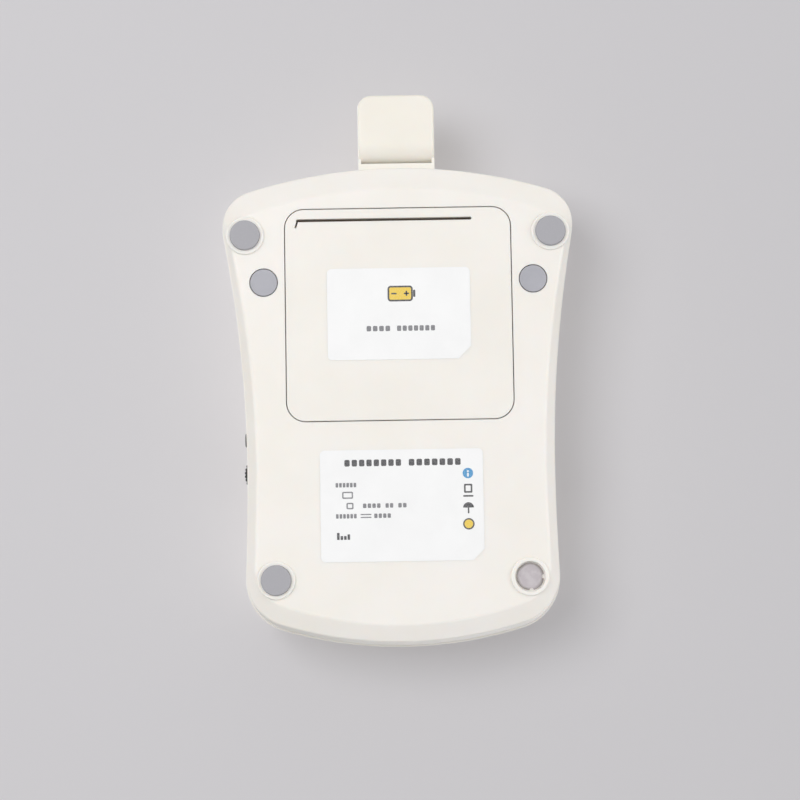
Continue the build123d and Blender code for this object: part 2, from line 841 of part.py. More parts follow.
# Battery pack: hard case, two flat cells and three contact pads
with BuildPart() as battery_case:
    with Locations((0, pack_mid_y, pack_z)):
        Box(pack_width, pack_length, pack_height, align=(Align.CENTER, Align.CENTER, Align.MIN))
    fillet(battery_case.edges(), pack_edge_round)
    with Locations((0, pack_mid_y, pack_z + pack_height / 2)):
        Box(
            pack_width - 2 * pack_wall,
            pack_length - 2 * pack_wall,
            pack_height - 2 * pack_wall,
            mode=Mode.SUBTRACT,
        )
    with BuildSketch(Plane.XY.offset(pack_top_z)):
        with Locations(*pin_places):
            Rectangle(pad_width, pad_length)
    extrude(amount=-contact_pad_thickness, mode=Mode.SUBTRACT)
battery_case.part.label = "battery_case"
export_step(battery_case.part, "parts/battery_case.step")

cell_width = pack_width / 2 - pack_wall - cell_gap
with BuildPart() as battery_cells:
    with Locations(
        *[(side * (cell_gap + cell_width) / 2, pack_mid_y, pack_z + pack_wall) for side in (1, -1)]
    ):
        Box(
            cell_width,
            pack_length - 2 * (pack_wall + cell_gap),
            pack_height - 2 * pack_wall - cell_gap,
            align=(Align.CENTER, Align.CENTER, Align.MIN),
        )
    fillet(battery_cells.edges().filter_by(Axis.Z), pack_edge_round)
battery_cells.part.label = "battery_cells"
export_step(battery_cells.part, "parts/battery_cells.step")

with BuildPart() as battery_contact_pads:
    with BuildSketch(Plane.XY.offset(pack_top_z - contact_pad_thickness)):
        with Locations(*pin_places):
            Rectangle(pad_width, pad_length)
    extrude(amount=contact_pad_thickness)
battery_contact_pads.part.label = "battery_contact_pads"
export_step(battery_contact_pads.part, "parts/battery_contact_pads.step")


# Spring pins that reach the pack through the bay's ceiling, and the block that holds them
block_low_z = bay_top_z + bay_wall
with BuildPart() as contact_block:
    with Locations((0, pin_places[1][1], block_low_z)):
        Box(
            2 * (pad_pitch + block_margin),
            2 * block_margin,
            board_low_z - block_low_z,
            align=(Align.CENTER, Align.CENTER, Align.MIN),
        )
    with BuildSketch(Plane.XY.offset(block_low_z)):
        with Locations(*pin_places):
            Circle(pin_radius)
    extrude(amount=board_low_z - block_low_z, mode=Mode.SUBTRACT)
contact_block.part.label = "contact_block"
export_step(contact_block.part, "parts/contact_block.step")

with BuildPart() as contact_pins:
    with BuildSketch(Plane.XY.offset(pack_top_z + pin_gap)):
        with Locations(*pin_places):
            Circle(pin_radius)
    extrude(amount=board_low_z - pack_top_z - pin_gap)
    fillet(contact_pins.edges().group_by(Axis.Z)[0], pin_radius / 2)
contact_pins.part.label = "contact_pins"
export_step(contact_pins.part, "parts/contact_pins.step")


# Display: lens in the face, foam gasket, glass over a lit sheet in a frame, and its ribbon
frame_top_z = board_top_z + frame_height
glass_width = view_width + 2 * glass_margin
glass_length = view_length + 2 * glass_margin
glass_low_z = frame_top_z - glass_clearance - glass_thickness
backlight_low_z = glass_low_z - backlight_thickness

with BuildPart() as display_lens:
    with BuildSketch(Plane.XY.offset(front_z - lens_thickness)):
        with Locations((0, display_y)):
            RectangleRounded(lens_width, lens_length, lens_round - lens_clearance)
    extrude(amount=lens_thickness)
display_lens.part.label = "display_lens"
export_step(display_lens.part, "parts/display_lens.step")

with BuildPart() as display_gasket:
    with BuildSketch(Plane.XY.offset(frame_top_z)):
        with Locations((0, display_y)):
            Rectangle(view_width + 2 * gasket_out, view_length + 2 * gasket_out)
            Rectangle(view_width + 2 * gasket_in, view_length + 2 * gasket_in, mode=Mode.SUBTRACT)
    extrude(amount=front_in_z - frame_top_z)
display_gasket.part.label = "display_gasket"
export_step(display_gasket.part, "parts/display_gasket.step")

with BuildPart() as display_frame:
    with Locations((0, display_y, board_top_z)):
        Box(
            view_width + 2 * frame_margin,
            view_length + 2 * frame_margin,
            frame_height,
            align=(Align.CENTER, Align.CENTER, Align.MIN),
        )
    fillet(display_frame.edges().filter_by(Axis.Z), view_round)
    with Locations((0, display_y, frame_top_z)):
        Box(
            glass_width + 2 * glass_clearance,
            glass_length + 2 * glass_clearance,
            frame_top_z - backlight_low_z,
            align=(Align.CENTER, Align.CENTER, Align.MAX),
            mode=Mode.SUBTRACT,
        )
display_frame.part.label = "display_frame"
export_step(display_frame.part, "parts/display_frame.step")

with BuildPart() as display_glass:
    with Locations((0, display_y, glass_low_z)):
        Box(glass_width, glass_length, glass_thickness, align=(Align.CENTER, Align.CENTER, Align.MIN))
display_glass.part.label = "display_glass"
export_step(display_glass.part, "parts/display_glass.step")

with BuildPart() as backlight_sheet:
    with Locations((0, display_y, backlight_low_z)):
        Box(glass_width, glass_length, backlight_thickness, align=(Align.CENTER, Align.CENTER, Align.MIN))
backlight_sheet.part.label = "backlight_sheet"
export_step(backlight_sheet.part, "parts/backlight_sheet.step")

ribbon_y = display_y - view_length / 2 - frame_margin
with BuildPart() as display_ribbon:
    with BuildSketch(Plane.YZ):
        with BuildLine():
            RadiusArc(
                (ribbon_y, board_top_z + ribbon_bend + ribbon_thickness),
                (ribbon_y - ribbon_bend - ribbon_thickness, board_top_z),
                ribbon_bend + ribbon_thickness,
            )
            Line(
                (ribbon_y - ribbon_bend - ribbon_thickness, board_top_z),
                (ribbon_y - ribbon_bend, board_top_z),
            )
            RadiusArc(
                (ribbon_y - ribbon_bend, board_top_z),
                (ribbon_y, board_top_z + ribbon_bend),
                -ribbon_bend,
            )
            Line(
                (ribbon_y, board_top_z + ribbon_bend),
                (ribbon_y, board_top_z + ribbon_bend + ribbon_thickness),
            )
        make_face()
    extrude(amount=ribbon_width / 2, both=True)
display_ribbon.part.label = "display_ribbon"
export_step(display_ribbon.part, "parts/display_ribbon.step")


# Main board, its screws and what is soldered to its underside
with BuildPart() as main_board:
    with BuildSketch(Plane.XY.offset(board_low_z)):
        add(inset_outline(board_in))
        with Locations((0, mid_y + board_low_dy)):
            Rectangle(
                2 * shoulder_half,
                board_top_dy - board_low_dy,
                align=(Align.CENTER, Align.MIN),
                mode=Mode.INTERSECT,
            )
        with Locations((wheel_x, wheel_y)):
            Circle(pot_radius)
        with Locations(*screw_places):
            Circle(front_boss_radius + board_clearance, mode=Mode.SUBTRACT)
        with Locations(*post_places):
            Circle(board_screw_radius, mode=Mode.SUBTRACT)
        with Locations((0, speaker_y)):
            Circle(speaker_radius + collar_gap + collar_wall + board_clearance, mode=Mode.SUBTRACT)
        with Locations((-shoulder_half, socket_y)):
            Rectangle(
                shoulder_half - side_x(socket_dy) + charge_flush + socket_length + board_clearance,
                socket_nut_across + 2 * board_clearance,
                align=(Align.MIN, Align.CENTER),
                mode=Mode.SUBTRACT,
            )
    extrude(amount=board_thickness)
main_board.part.label = "main_board"
export_step(main_board.part, "parts/main_board.step")

with BuildPart() as board_screws:
    with BuildSketch(Plane.XY.offset(board_low_z - board_screw_head_height)):
        with Locations(*post_places):
            Circle(board_screw_head_radius)
    extrude(amount=board_screw_head_height)
    with BuildSketch(Plane.XY.offset(board_low_z)):
        with Locations(*post_places):
            Circle(board_screw_radius)
    extrude(amount=board_thickness + board_screw_grip)
board_screws.part.label = "board_screws"
export_step(board_screws.part, "parts/board_screws.step")

with BuildPart() as shield_can:
    with Locations((can_x, mid_y + can_dy, board_low_z)):
        Box(can_length, can_width, can_height, align=(Align.CENTER, Align.CENTER, Align.MAX))
    fillet(shield_can.edges().filter_by(Axis.Z), view_round)
shield_can.part.label = "shield_can"
export_step(shield_can.part, "parts/shield_can.step")

with BuildPart() as board_chips:
    with Locations(*[(x, mid_y + dy, board_low_z) for x, dy in chip_places]):
        Box(chip_size, chip_size, chip_height, align=(Align.CENTER, Align.CENTER, Align.MAX))
board_chips.part.label = "board_chips"
export_step(board_chips.part, "parts/board_chips.step")


# Keys: each cap is held under the face by its flange and stands over its own dome on a rubber mat
key_flange_top_z = front_in_z - dome_stand_off
key_low_z = key_flange_top_z - key_flange_thickness
dome_top_z = key_low_z - key_travel - dome_stand_off
mat_top_z = board_top_z + mat_thickness

for key_name, key_x in zip(key_names, key_xs):
    with BuildPart() as key:
        with BuildSketch(Plane.XY.offset(key_low_z)):
            with Locations((key_x, key_y)):
                RectangleRounded(key_width, key_length, key_round)
        extrude(amount=front_z - key_below_face - key_low_z)
        fillet(key.faces().sort_by(Axis.Z)[-1].edges(), key_edge_round)
        with BuildSketch(Plane.XY.offset(key_low_z)):
            with Locations((key_x, key_y)):
                RectangleRounded(
                    key_width + 2 * key_flange, key_length + 2 * key_flange, key_round + key_flange
                )
        extrude(amount=key_flange_thickness)
    key.part.label = key_name
    export_step(key.part, f"parts/{key_name}.step")

with BuildPart() as keypad_mat:
    with BuildSketch(Plane.XY.offset(board_top_z)):
        with Locations((0, key_y)):
            RectangleRounded(
                key_xs[-1] - key_xs[0] + key_width + 2 * mat_margin, key_length + 2 * mat_margin, key_round
            )
    extrude(amount=mat_thickness)
    with Locations(*[(x, key_y, mat_top_z) for x in key_xs]):
        Cone(
            dome_base_radius,
            dome_radius,
            dome_top_z - mat_top_z,
            align=(Align.CENTER, Align.CENTER, Align.MIN),
        )
    with Locations(*[(x, key_y, board_top_z) for x in key_xs]):
        Cone(
            dome_base_radius - dome_wall,
            dome_radius - dome_wall,
            dome_top_z - board_top_z - mat_thickness,
            align=(Align.CENTER, Align.CENTER, Align.MIN),
            mode=Mode.SUBTRACT,
        )
keypad_mat.part.label = "keypad_mat"
export_step(keypad_mat.part, "parts/keypad_mat.step")


# Phone jack, soldered under the board with its nose standing out of the side wall
with BuildPart() as phone_jack:
    with Locations((port_face_x, jack_y, board_low_z)):
        Box(jack_body_length, jack_body_width, 2 * port_drop, align=(Align.MAX, Align.CENTER, Align.MAX))
    with BuildSketch(Plane.YZ.offset(port_face_x)):
        with Locations((jack_y, port_z)):
            Circle(jack_nose_radius)
    extrude(amount=jack_tip_x - port_face_x)
    chamfer(phone_jack.edges().group_by(Axis.X)[-1], jack_nose_chamfer)
    with BuildSketch(Plane.YZ.offset(jack_tip_x)):
        with Locations((jack_y, port_z)):
            Circle(jack_bore_radius)
    extrude(amount=-jack_bore_depth, mode=Mode.SUBTRACT)
phone_jack.part.label = "phone_jack"
export_step(phone_jack.part, "parts/phone_jack.step")

# Charge jack, the same way on the other side, flush with the wall
with BuildPart() as charge_jack:
    with Locations((-port_face_x, jack_y, board_low_z)):
        Box(jack_body_length, jack_body_width, 2 * port_drop, align=(Align.MIN, Align.CENTER, Align.MAX))
    with BuildSketch(Plane.YZ.offset(-port_face_x)):
        with Locations((jack_y, port_z)):
            Circle(jack_nose_radius)
    extrude(amount=port_face_x - charge_tip_x)
    with BuildSketch(Plane.YZ.offset(-charge_tip_x)):
        with Locations((jack_y, port_z)):
            Circle(charge_bore_radius)
            Circle(charge_pin_radius, mode=Mode.SUBTRACT)
    extrude(amount=charge_bore_depth, mode=Mode.SUBTRACT)
charge_jack.part.label = "charge_jack"
export_step(charge_jack.part, "parts/charge_jack.step")


# Probe socket: a keyed round socket with its nut and contact pins
with BuildPart() as probe_socket:
    with BuildSketch(Plane.YZ.offset(-socket_tip_x)):
        with Locations((socket_y, socket_z)):
            Circle(socket_radius)
    extrude(amount=socket_length)
    with BuildSketch(Plane.YZ.offset(-socket_tip_x)):
        with Locations((socket_y, socket_z)):
            Circle(socket_bore_radius)
        with Locations((socket_y, socket_z + socket_bore_radius)):
            Circle(socket_pin_radius)
    extrude(amount=socket_bore_depth, mode=Mode.SUBTRACT)
    with BuildSketch(Plane.YZ.offset(-socket_floor_x)):
        with Locations((socket_y, socket_z)):
            with PolarLocations(socket_pin_ring, socket_pin_count):
                Circle(socket_pin_radius)
    extrude(amount=socket_length - socket_bore_depth, mode=Mode.SUBTRACT)
probe_socket.part.label = "probe_socket"
export_step(probe_socket.part, "parts/probe_socket.step")

with BuildPart() as socket_pins:
    with BuildSketch(Plane.YZ.offset(socket_length - socket_tip_x)):
        with Locations((socket_y, socket_z)):
            with PolarLocations(socket_pin_ring, socket_pin_count):
                Circle(socket_pin_radius)
    extrude(amount=socket_bore_depth - socket_length - socket_pin_length)
socket_pins.part.label = "socket_pins"
export_step(socket_pins.part, "parts/socket_pins.step")

with BuildPart() as socket_nut:
    with BuildSketch(Plane.YZ.offset(-socket_nut_x)):
        with Locations((socket_y, socket_z)):
            RegularPolygon(socket_nut_across / 2, 6, major_radius=False)
            Circle(socket_radius, mode=Mode.SUBTRACT)
    extrude(amount=socket_nut_thickness)
socket_nut.part.label = "socket_nut"
export_step(socket_nut.part, "parts/socket_nut.step")


# Volume wheel, on a shaft that turns in the body soldered under the board
with BuildPart() as volume_wheel:
    with Locations((wheel_x, wheel_y, port_z)):
        Cylinder(wheel_radius, wheel_thickness)
    fillet(volume_wheel.edges().group_by(Axis.Z)[0], wheel_edge_round)
    fillet(volume_wheel.edges().group_by(Axis.Z)[-1], wheel_edge_round)
    with BuildSketch(Plane.XY.offset(port_z - wheel_thickness / 2)):
        with Locations((wheel_x, wheel_y)):
            with PolarLocations(wheel_radius, knurl_count):
                Circle(knurl_radius)
    extrude(amount=wheel_thickness, mode=Mode.SUBTRACT)
    with BuildSketch(Plane.XY.offset(port_z)):
        with Locations((wheel_x, wheel_y)):
            Circle(wheel_shaft_radius)
    extrude(amount=board_low_z - pot_gap - port_z)
volume_wheel.part.label = "volume_wheel"
export_step(volume_wheel.part, "parts/volume_wheel.step")

pot_low_z = port_z + wheel_thickness / 2 + pot_gap
with BuildPart() as volume_pot:
    with BuildSketch(Plane.XY.offset(pot_low_z)):
        with Locations((wheel_x, wheel_y)):
            Circle(pot_radius)
            Circle(wheel_shaft_radius + wheel_running_gap, mode=Mode.SUBTRACT)
    extrude(amount=board_low_z - pot_low_z)
volume_pot.part.label = "volume_pot"
export_step(volume_pot.part, "parts/volume_pot.step")


# Speaker behind the grille: mesh, frame, cone and magnet
mesh_low_z = front_in_z - mesh_thickness
frame_floor_z = mesh_low_z - speaker_depth + speaker_magnet_height
cone_edge_radius = speaker_radius - 2 * speaker_flange
speaker_plane = Plane.XZ.offset(-speaker_y)
speaker_axis = Axis((0, speaker_y, 0), (0, 0, 1))

with BuildPart() as speaker_mesh:
    with BuildSketch(Plane.XY.offset(mesh_low_z)):
        with Locations((0, speaker_y)):
            Circle(speaker_radius)
    extrude(amount=mesh_thickness)
speaker_mesh.part.label = "speaker_mesh"
export_step(speaker_mesh.part, "parts/speaker_mesh.step")

with BuildPart() as speaker_frame:
    with BuildSketch(speaker_plane):
        with BuildLine():
            Polyline(
                (0, frame_floor_z),
                (speaker_magnet_radius, frame_floor_z),
                (speaker_radius - speaker_flange, mesh_low_z - speaker_flange),
                (speaker_radius, mesh_low_z - speaker_flange),
                (speaker_radius, mesh_low_z),
                (cone_edge_radius, mesh_low_z),
                (cone_edge_radius, mesh_low_z - speaker_flange),
                (speaker_magnet_radius - speaker_sheet, frame_floor_z + speaker_sheet),
                (0, frame_floor_z + speaker_sheet),
                close=True,
            )
        make_face()
    revolve(axis=speaker_axis)
speaker_frame.part.label = "speaker_frame"
export_step(speaker_frame.part, "parts/speaker_frame.step")

with BuildPart() as speaker_cone:
    with BuildSketch(speaker_plane):
        with BuildLine():
            Polyline(
                (0, mesh_low_z - cone_gap - cone_depth),
                (cone_edge_radius / 3, mesh_low_z - cone_gap - cone_depth),
                (cone_edge_radius, mesh_low_z - cone_gap - cone_thickness),
                (cone_edge_radius, mesh_low_z - cone_gap),
                (cone_edge_radius / 3, mesh_low_z - cone_gap - cone_depth + cone_thickness),
                (0, mesh_low_z - cone_gap - cone_depth + cone_thickness),
                close=True,
            )
        make_face()
    revolve(axis=speaker_axis)
speaker_cone.part.label = "speaker_cone"
export_step(speaker_cone.part, "parts/speaker_cone.step")

with BuildPart() as speaker_magnet:
    with Locations((0, speaker_y, frame_floor_z)):
        Cylinder(
            speaker_magnet_radius,
            speaker_magnet_height,
            align=(Align.CENTER, Align.CENTER, Align.MAX),
        )
    fillet(speaker_magnet.edges().group_by(Axis.Z)[0], speaker_sheet)
speaker_magnet.part.label = "speaker_magnet"
export_step(speaker_magnet.part, "parts/speaker_magnet.step")


# Charge light: a chip on the board and the clear pipe over it
with BuildPart() as charge_light:
    with Locations((light_x, light_y, board_top_z)):
        Box(light_chip, light_chip, light_chip_height, align=(Align.CENTER, Align.CENTER, Align.MIN))
charge_light.part.label = "charge_light"
export_step(charge_light.part, "parts/charge_light.step")

with BuildPart() as light_pipe:
    with BuildSketch(Plane.XY.offset(board_top_z + light_chip_height)):
        with Locations((light_x, light_y)):
            Circle(light_radius)
    extrude(amount=front_z - board_top_z - light_chip_height)
    with BuildSketch(Plane.XY.offset(front_in_z)):
        with Locations((light_x, light_y)):
            Circle(light_radius + light_flange)
    extrude(amount=-light_flange_thickness)
light_pipe.part.label = "light_pipe"
export_step(light_pipe.part, "parts/light_pipe.step")

print("foot at", foot_places[0])
print("probe socket mouth at x", round(-socket_tip_x, 3), "y", round(socket_y, 3), "z", round(socket_z, 3))
print("charge jack mouth at x", round(-charge_tip_x, 3))
print("cradle from y", round(throat_low_y, 3), "to", round(throat_high_y, 3))
print("cradle above z", round(hook_plate_z + hook_plate, 3))
print("hinge axis at y", round(cover_low_y, 3), "z", round(panel_z, 3))
print("wheel axis at x", round(wheel_x, 3), "y", round(wheel_y, 3))
print("phone jack tip at x", round(jack_tip_x, 3), "y", round(jack_y, 3), "z", round(port_z, 3))
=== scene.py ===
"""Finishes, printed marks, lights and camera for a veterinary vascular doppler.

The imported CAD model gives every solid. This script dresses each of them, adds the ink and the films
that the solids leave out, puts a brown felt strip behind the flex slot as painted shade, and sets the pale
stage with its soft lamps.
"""

import logging
import math
from collections.abc import Mapping, Sequence
from dataclasses import dataclass, field
from enum import Enum

import bmesh
import bpy
from mathutils import Matrix, Vector


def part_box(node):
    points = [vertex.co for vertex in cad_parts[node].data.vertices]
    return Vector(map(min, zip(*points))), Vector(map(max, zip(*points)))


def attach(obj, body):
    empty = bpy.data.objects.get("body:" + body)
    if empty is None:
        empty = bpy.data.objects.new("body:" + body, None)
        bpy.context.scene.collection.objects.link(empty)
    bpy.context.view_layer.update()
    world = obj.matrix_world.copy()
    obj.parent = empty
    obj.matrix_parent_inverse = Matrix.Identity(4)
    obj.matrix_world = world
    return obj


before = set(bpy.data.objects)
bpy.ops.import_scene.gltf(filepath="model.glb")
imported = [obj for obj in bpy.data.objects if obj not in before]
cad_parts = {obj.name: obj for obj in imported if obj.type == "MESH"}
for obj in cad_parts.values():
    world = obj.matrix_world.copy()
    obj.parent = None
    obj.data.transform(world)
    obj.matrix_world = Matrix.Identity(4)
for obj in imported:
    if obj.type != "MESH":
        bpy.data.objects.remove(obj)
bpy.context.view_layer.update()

Point = tuple[float, float]
Span = tuple[float, float]
Loop = list[Point]
Patch = list[Loop]
Tree = bpy.types.NodeTree
Node = bpy.types.Node
Socket = bpy.types.NodeSocket

MM = 0.001
# A noise stays mostly between these values
NOISE_SPAN: Span = (0.35, 0.65)
# The wave texture turns through this many radians in one unit
WAVE_PHASE = 20.0
# A block that stands for a letter takes this share of the letter's room
BLOCK_SHARE = 0.72
# An ink printed over another one reaches this thickness, in millimetres
OVERPRINT_MM = 0.06
# Rounded corners leave at least this much of each half side straight, in millimetres
LEAST_STRAIGHT_MM = 1e-4

log = logging.getLogger("doppler")


def linear(hex_colour: str) -> tuple[float, float, float, float]:
    """Turn an sRGB hex colour into the linear values that a shader works in.

    Args:
        hex_colour: six hex digits after a hash sign.

    Returns:
        Linear red, green and blue, and an alpha of one.
    """
    digits = hex_colour.lstrip("#")
    channels = [int(digits[i : i + 2], 16) / 255 for i in (0, 2, 4)]
    curve = [c / 12.92 if c <= 0.04045 else ((c + 0.055) / 1.055) ** 2.4 for c in channels]
    return (curve[0], curve[1], curve[2], 1.0)


def per_metre(size_mm: float) -> float:
    """Texture scale whose features are size_mm across, on coordinates in metres."""
    return 1.0 / (size_mm * MM)


def bands_per_metre(width_mm: float) -> float:
    """Wave texture scale whose bands, and the gaps between them, are each width_mm wide."""
    return per_metre(width_mm) * math.pi / WAVE_PHASE


def add_node(
    tree: Tree,
    kind: str,
    settings: Mapping[str, object] | None = None,
    values: Mapping[str | int, object] | None = None,
    links: Mapping[str | int, Socket] | None = None,
) -> Node:
    """Add one shader node.

    Args:
        tree: the node tree that gets the node.
        kind: the node's type name.
        settings: attributes to set on the node.
        values: fixed values for its input sockets, by name or number.
        links: output sockets of other nodes to join to its inputs.

    Returns:
        The new node.
    """
    node = tree.nodes.new(kind)
    for name, value in (settings or {}).items():
        setattr(node, name, value)
    for socket, value in (values or {}).items():
        node.inputs[socket].default_value = value
    for socket, source in (links or {}).items():
        tree.links.new(source, node.inputs[socket])
    return node


class InkTone(Enum):
    """The printing inks on the stickers, the pack, the display border and the keys."""

    BLACK = "#38383b"
    GREY = "#77777b"
    BLUE = "#3a93c9"
    YELLOW = "#ecc93c"
    WHITE = "#eceef0"


class Lay(Enum):
    """Which way fine scratches, streaks and wipe marks run."""

    ALONG_X = (0.05, 1.0, 1.0)
    ALONG_Y = (1.0, 0.05, 1.0)
    ALONG_Z = (1.0, 1.0, 0.05)
    EVEN = (1.0, 1.0, 1.0)


@dataclass(frozen=True)
class Surface:
    """One material in the making: its node tree, its shader, and coordinates on the part in metres."""

    tree: Tree
    shader: Node
    coords: Socket

    def cloud(self, size_mm: float, detail: float = 3.0, lay: Lay = Lay.EVEN) -> Socket:
        """Soft noise of one feature size.

        Args:
            size_mm: how far its patches are apart.
            detail: how many finer octaves it has.
            lay: which way its patches are drawn out.

        Returns:
            The noise, about 0.3 to 0.7.
        """
        way = self.coords
        if lay is not Lay.EVEN:
            way = add_node(
                self.tree, "ShaderNodeMapping", values={"Scale": lay.value}, links={"Vector": way}
            ).outputs[0]
        noise = add_node(
            self.tree,
            "ShaderNodeTexNoise",
            values={"Scale": per_metre(size_mm), "Detail": detail, "Roughness": 0.55},
            links={"Vector": way},
        )
        return noise.outputs[0]

    def tint(
        self,
        pattern: Socket,
        first: str | Socket,
        second: str | Socket,
        share: float = 1.0,
        fades: Span = NOISE_SPAN,
    ) -> Socket:
        """Give the surface two colours that take turns over a pattern.

        Args:
            pattern: what decides between them, such as a noise.
            first: the colour where the pattern is low, as sRGB hex or as an earlier tint.
            second: the colour where the pattern is high.
            share: how much of the second there is at the most, 0 to 1.
            fades: the pattern's values where the second starts and where it is full.

        Returns:
            The colour, for a tint that is laid over this one.
        """
        amount = add_node(
            self.tree,
            "ShaderNodeMapRange",
            values={"From Min": fades[0], "From Max": fades[1], "To Min": 0.0, "To Max": share},
            links={"Value": pattern},
        ).outputs[0]
        mix = add_node(self.tree, "ShaderNodeMix", settings={"data_type": "RGBA"}, links={0: amount})
        for socket, colour in ((6, first), (7, second)):
            if isinstance(colour, str):
                mix.inputs[socket].default_value = linear(colour)
            else:
                self.tree.links.new(colour, mix.inputs[socket])
        self.tree.links.new(mix.outputs[2], self.shader.inputs["Base Color"])
        return mix.outputs[2]

    def gloss(self, pattern: Socket, low: float, high: float, fades: Span = NOISE_SPAN) -> None:
        """Let the surface's roughness swing with a pattern.

        Args:
            pattern: what it swings with.
            low: the roughness where the pattern is low.
            high: the roughness where the pattern is high.
            fades: the pattern's low and high values.
        """
        swing = add_node(
            self.tree,
            "ShaderNodeMapRange",
            values={"From Min": fades[0], "From Max": fades[1], "To Min": low, "To Max": high},
            links={"Value": pattern},
        )
        self.tree.links.new(swing.outputs[0], self.shader.inputs["Roughness"])

    def relief(self, height: Socket, depth_mm: float, strength: float = 1.0) -> None:
        """Raise fine relief on the surface.

        Args:
            height: the relief's height, 0 to 1.
            depth_mm: how deep it is.
            strength: how much of it is felt.
        """
        bump = add_node(
            self.tree,
            "ShaderNodeBump",
            values={"Strength": strength, "Distance": depth_mm * MM},
            links={"Height": height},
        )
        self.tree.links.new(bump.outputs[0], self.shader.inputs["Normal"])


@dataclass(frozen=True)
class Finish:
    """A surface finish, named for its material and for how the surface was made."""

    name: str
    colour: str
    ior: float = 1.5
    roughness: float = 0.5

    def build(self) -> bpy.types.Material:
        """Make the material, or give the one made before.

        Returns:
            The Blender material.
        """
        made = bpy.data.materials.get(self.name)
        if made is not None:
            return made
        made = bpy.data.materials.new(self.name)
        made.use_nodes = True
        tree = made.node_tree
        tree.nodes.clear()
        start = {"IOR": self.ior, "Roughness": self.roughness}
        shader = add_node(tree, "ShaderNodeBsdfPrincipled", values=start)
        add_node(tree, "ShaderNodeOutputMaterial", links={"Surface": shader.outputs["BSDF"]})
        coords = add_node(tree, "ShaderNodeTexCoord").outputs["Object"]
        self.wire(Surface(tree, shader, coords))
        return made

    def wire(self, surface: Surface) -> None:
        """Join this finish's colour, roughness and relief to the shader.

        Args:
            surface: the material in the making.
        """
        raise NotImplementedError


@dataclass(frozen=True)
class MouldedPlastic(Finish):
    """Injection-moulded ABS or nylon from a spark-eroded tool: satin, with a fine even grain.

    The colour drifts very slightly over some centimetres, as resin does, and the grain breaks
    up the gloss so that no lamp shows as a sharp spot. Light that enters a pale resin comes out
    again a little further on, red the furthest, which softens its edges.
    """

    shade: str = "#000000"
    grain_mm: float = 0.5
    grain_depth_mm: float = 0.004
    drift_mm: float = 30.0
    gloss_share: float = 0.125
    gloss_swing: float = 0.06
    glow: float = 0.0
    glow_mm: float = 1.4
    glow_reach: tuple[float, float, float] = (1.0, 0.8, 0.65)

    def wire(self, surface: Surface) -> None:
        """Join the resin's drift, its gloss and the tool's grain to the shader.

        Args:
            surface: the material in the making.
        """
        surface.tint(surface.cloud(self.drift_mm), self.colour, self.shade)
        blur = surface.cloud(self.drift_mm * self.gloss_share)
        surface.gloss(blur, self.roughness - self.gloss_swing, self.roughness + self.gloss_swing)
        if self.glow:
            inputs = surface.shader.inputs
            inputs["Subsurface Weight"].default_value = self.glow
            inputs["Subsurface Radius"].default_value = self.glow_reach
            inputs["Subsurface Scale"].default_value = self.glow_mm * MM
        surface.relief(surface.cloud(self.grain_mm, detail=2.0), self.grain_depth_mm)


@dataclass(frozen=True)
class MouldedRubber(Finish):
    """Moulded polyurethane, silicone or foam rubber: matt, soft to the light, with fine dust on it."""

    dust: str = "#ffffff"
    dust_share: float = 0.12
    dust_mm: float = 0.5
    dust_fades: Span = (0.52, 0.66)
    skin_mm: float = 0.35
    skin_depth_mm: float = 0.01

    def wire(self, surface: Surface) -> None:
        """Join the rubber's colour, the dust on it and its skin to the shader.

        Args:
            surface: the material in the making.
        """
        specks = surface.cloud(self.dust_mm, detail=4.0)
        surface.tint(specks, self.colour, self.dust, self.dust_share, self.dust_fades)
        surface.relief(surface.cloud(self.skin_mm, detail=2.0), self.skin_depth_mm)


@dataclass(frozen=True)
class PeeledAdhesive(Finish):
    """Acrylic adhesive left where a stick-on foot came off: silvery, faintly pink and wrinkled.

    It is half shiny, and duller where it tore. An uneven darker ring round its edge is painted shade,
    standing for the shade that the pocket's wall throws at the glue's edge.
    """

    torn: str = "#ffffff"
    torn_fades: Span = (0.44, 0.6)
    wrinkle_mm: float = 2.4
    wrinkle_depth_mm: float = 0.05
    wrinkle_strength: float = 0.6
    shinier: float = 0.15
    duller: float = 0.2
    rim_shade: str = "#8f8985"
    rim_shade_mm: float = 0.9
    node: str = "foot_glue_pad"

    def wire(self, surface: Surface) -> None:
        """Join the glue's torn patches, the painted shade round its edge and its wrinkles to the shader.

        Args:
            surface: the material in the making.
        """
        patches = surface.cloud(self.wrinkle_mm, detail=5.0)
        pad = surface.tint(patches, self.colour, self.torn, fades=self.torn_fades)
        low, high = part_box(self.node)
        middle = (low + high) / 2
        flat = add_node(
            surface.tree,
            "ShaderNodeVectorMath",
            settings={"operation": "MULTIPLY_ADD"},
            values={1: (1.0, 1.0, 0.0), 2: (-middle.x, -middle.y, 0.0)},
            links={0: surface.coords},
        ).outputs["Vector"]
        reach = add_node(
            surface.tree, "ShaderNodeVectorMath", settings={"operation": "LENGTH"}, links={0: flat}
        ).outputs["Value"]
        ragged = add_node(
            surface.tree,
            "ShaderNodeMath",
            settings={"operation": "MULTIPLY_ADD"},
            values={1: 2 * self.rim_shade_mm * MM},
            links={0: patches, 2: reach},
        ).outputs[0]
        rim = (high.y - low.y) / 2
        # Painted shade: a darker, ragged ring at the pad's edge, where the pocket's wall shades it
        surface.tint(ragged, pad, self.rim_shade, fades=(rim, rim + self.rim_shade_mm * MM))
        surface.gloss(patches, self.roughness - self.shinier, self.roughness + self.duller)
        surface.relief(patches, self.wrinkle_depth_mm, self.wrinkle_strength)


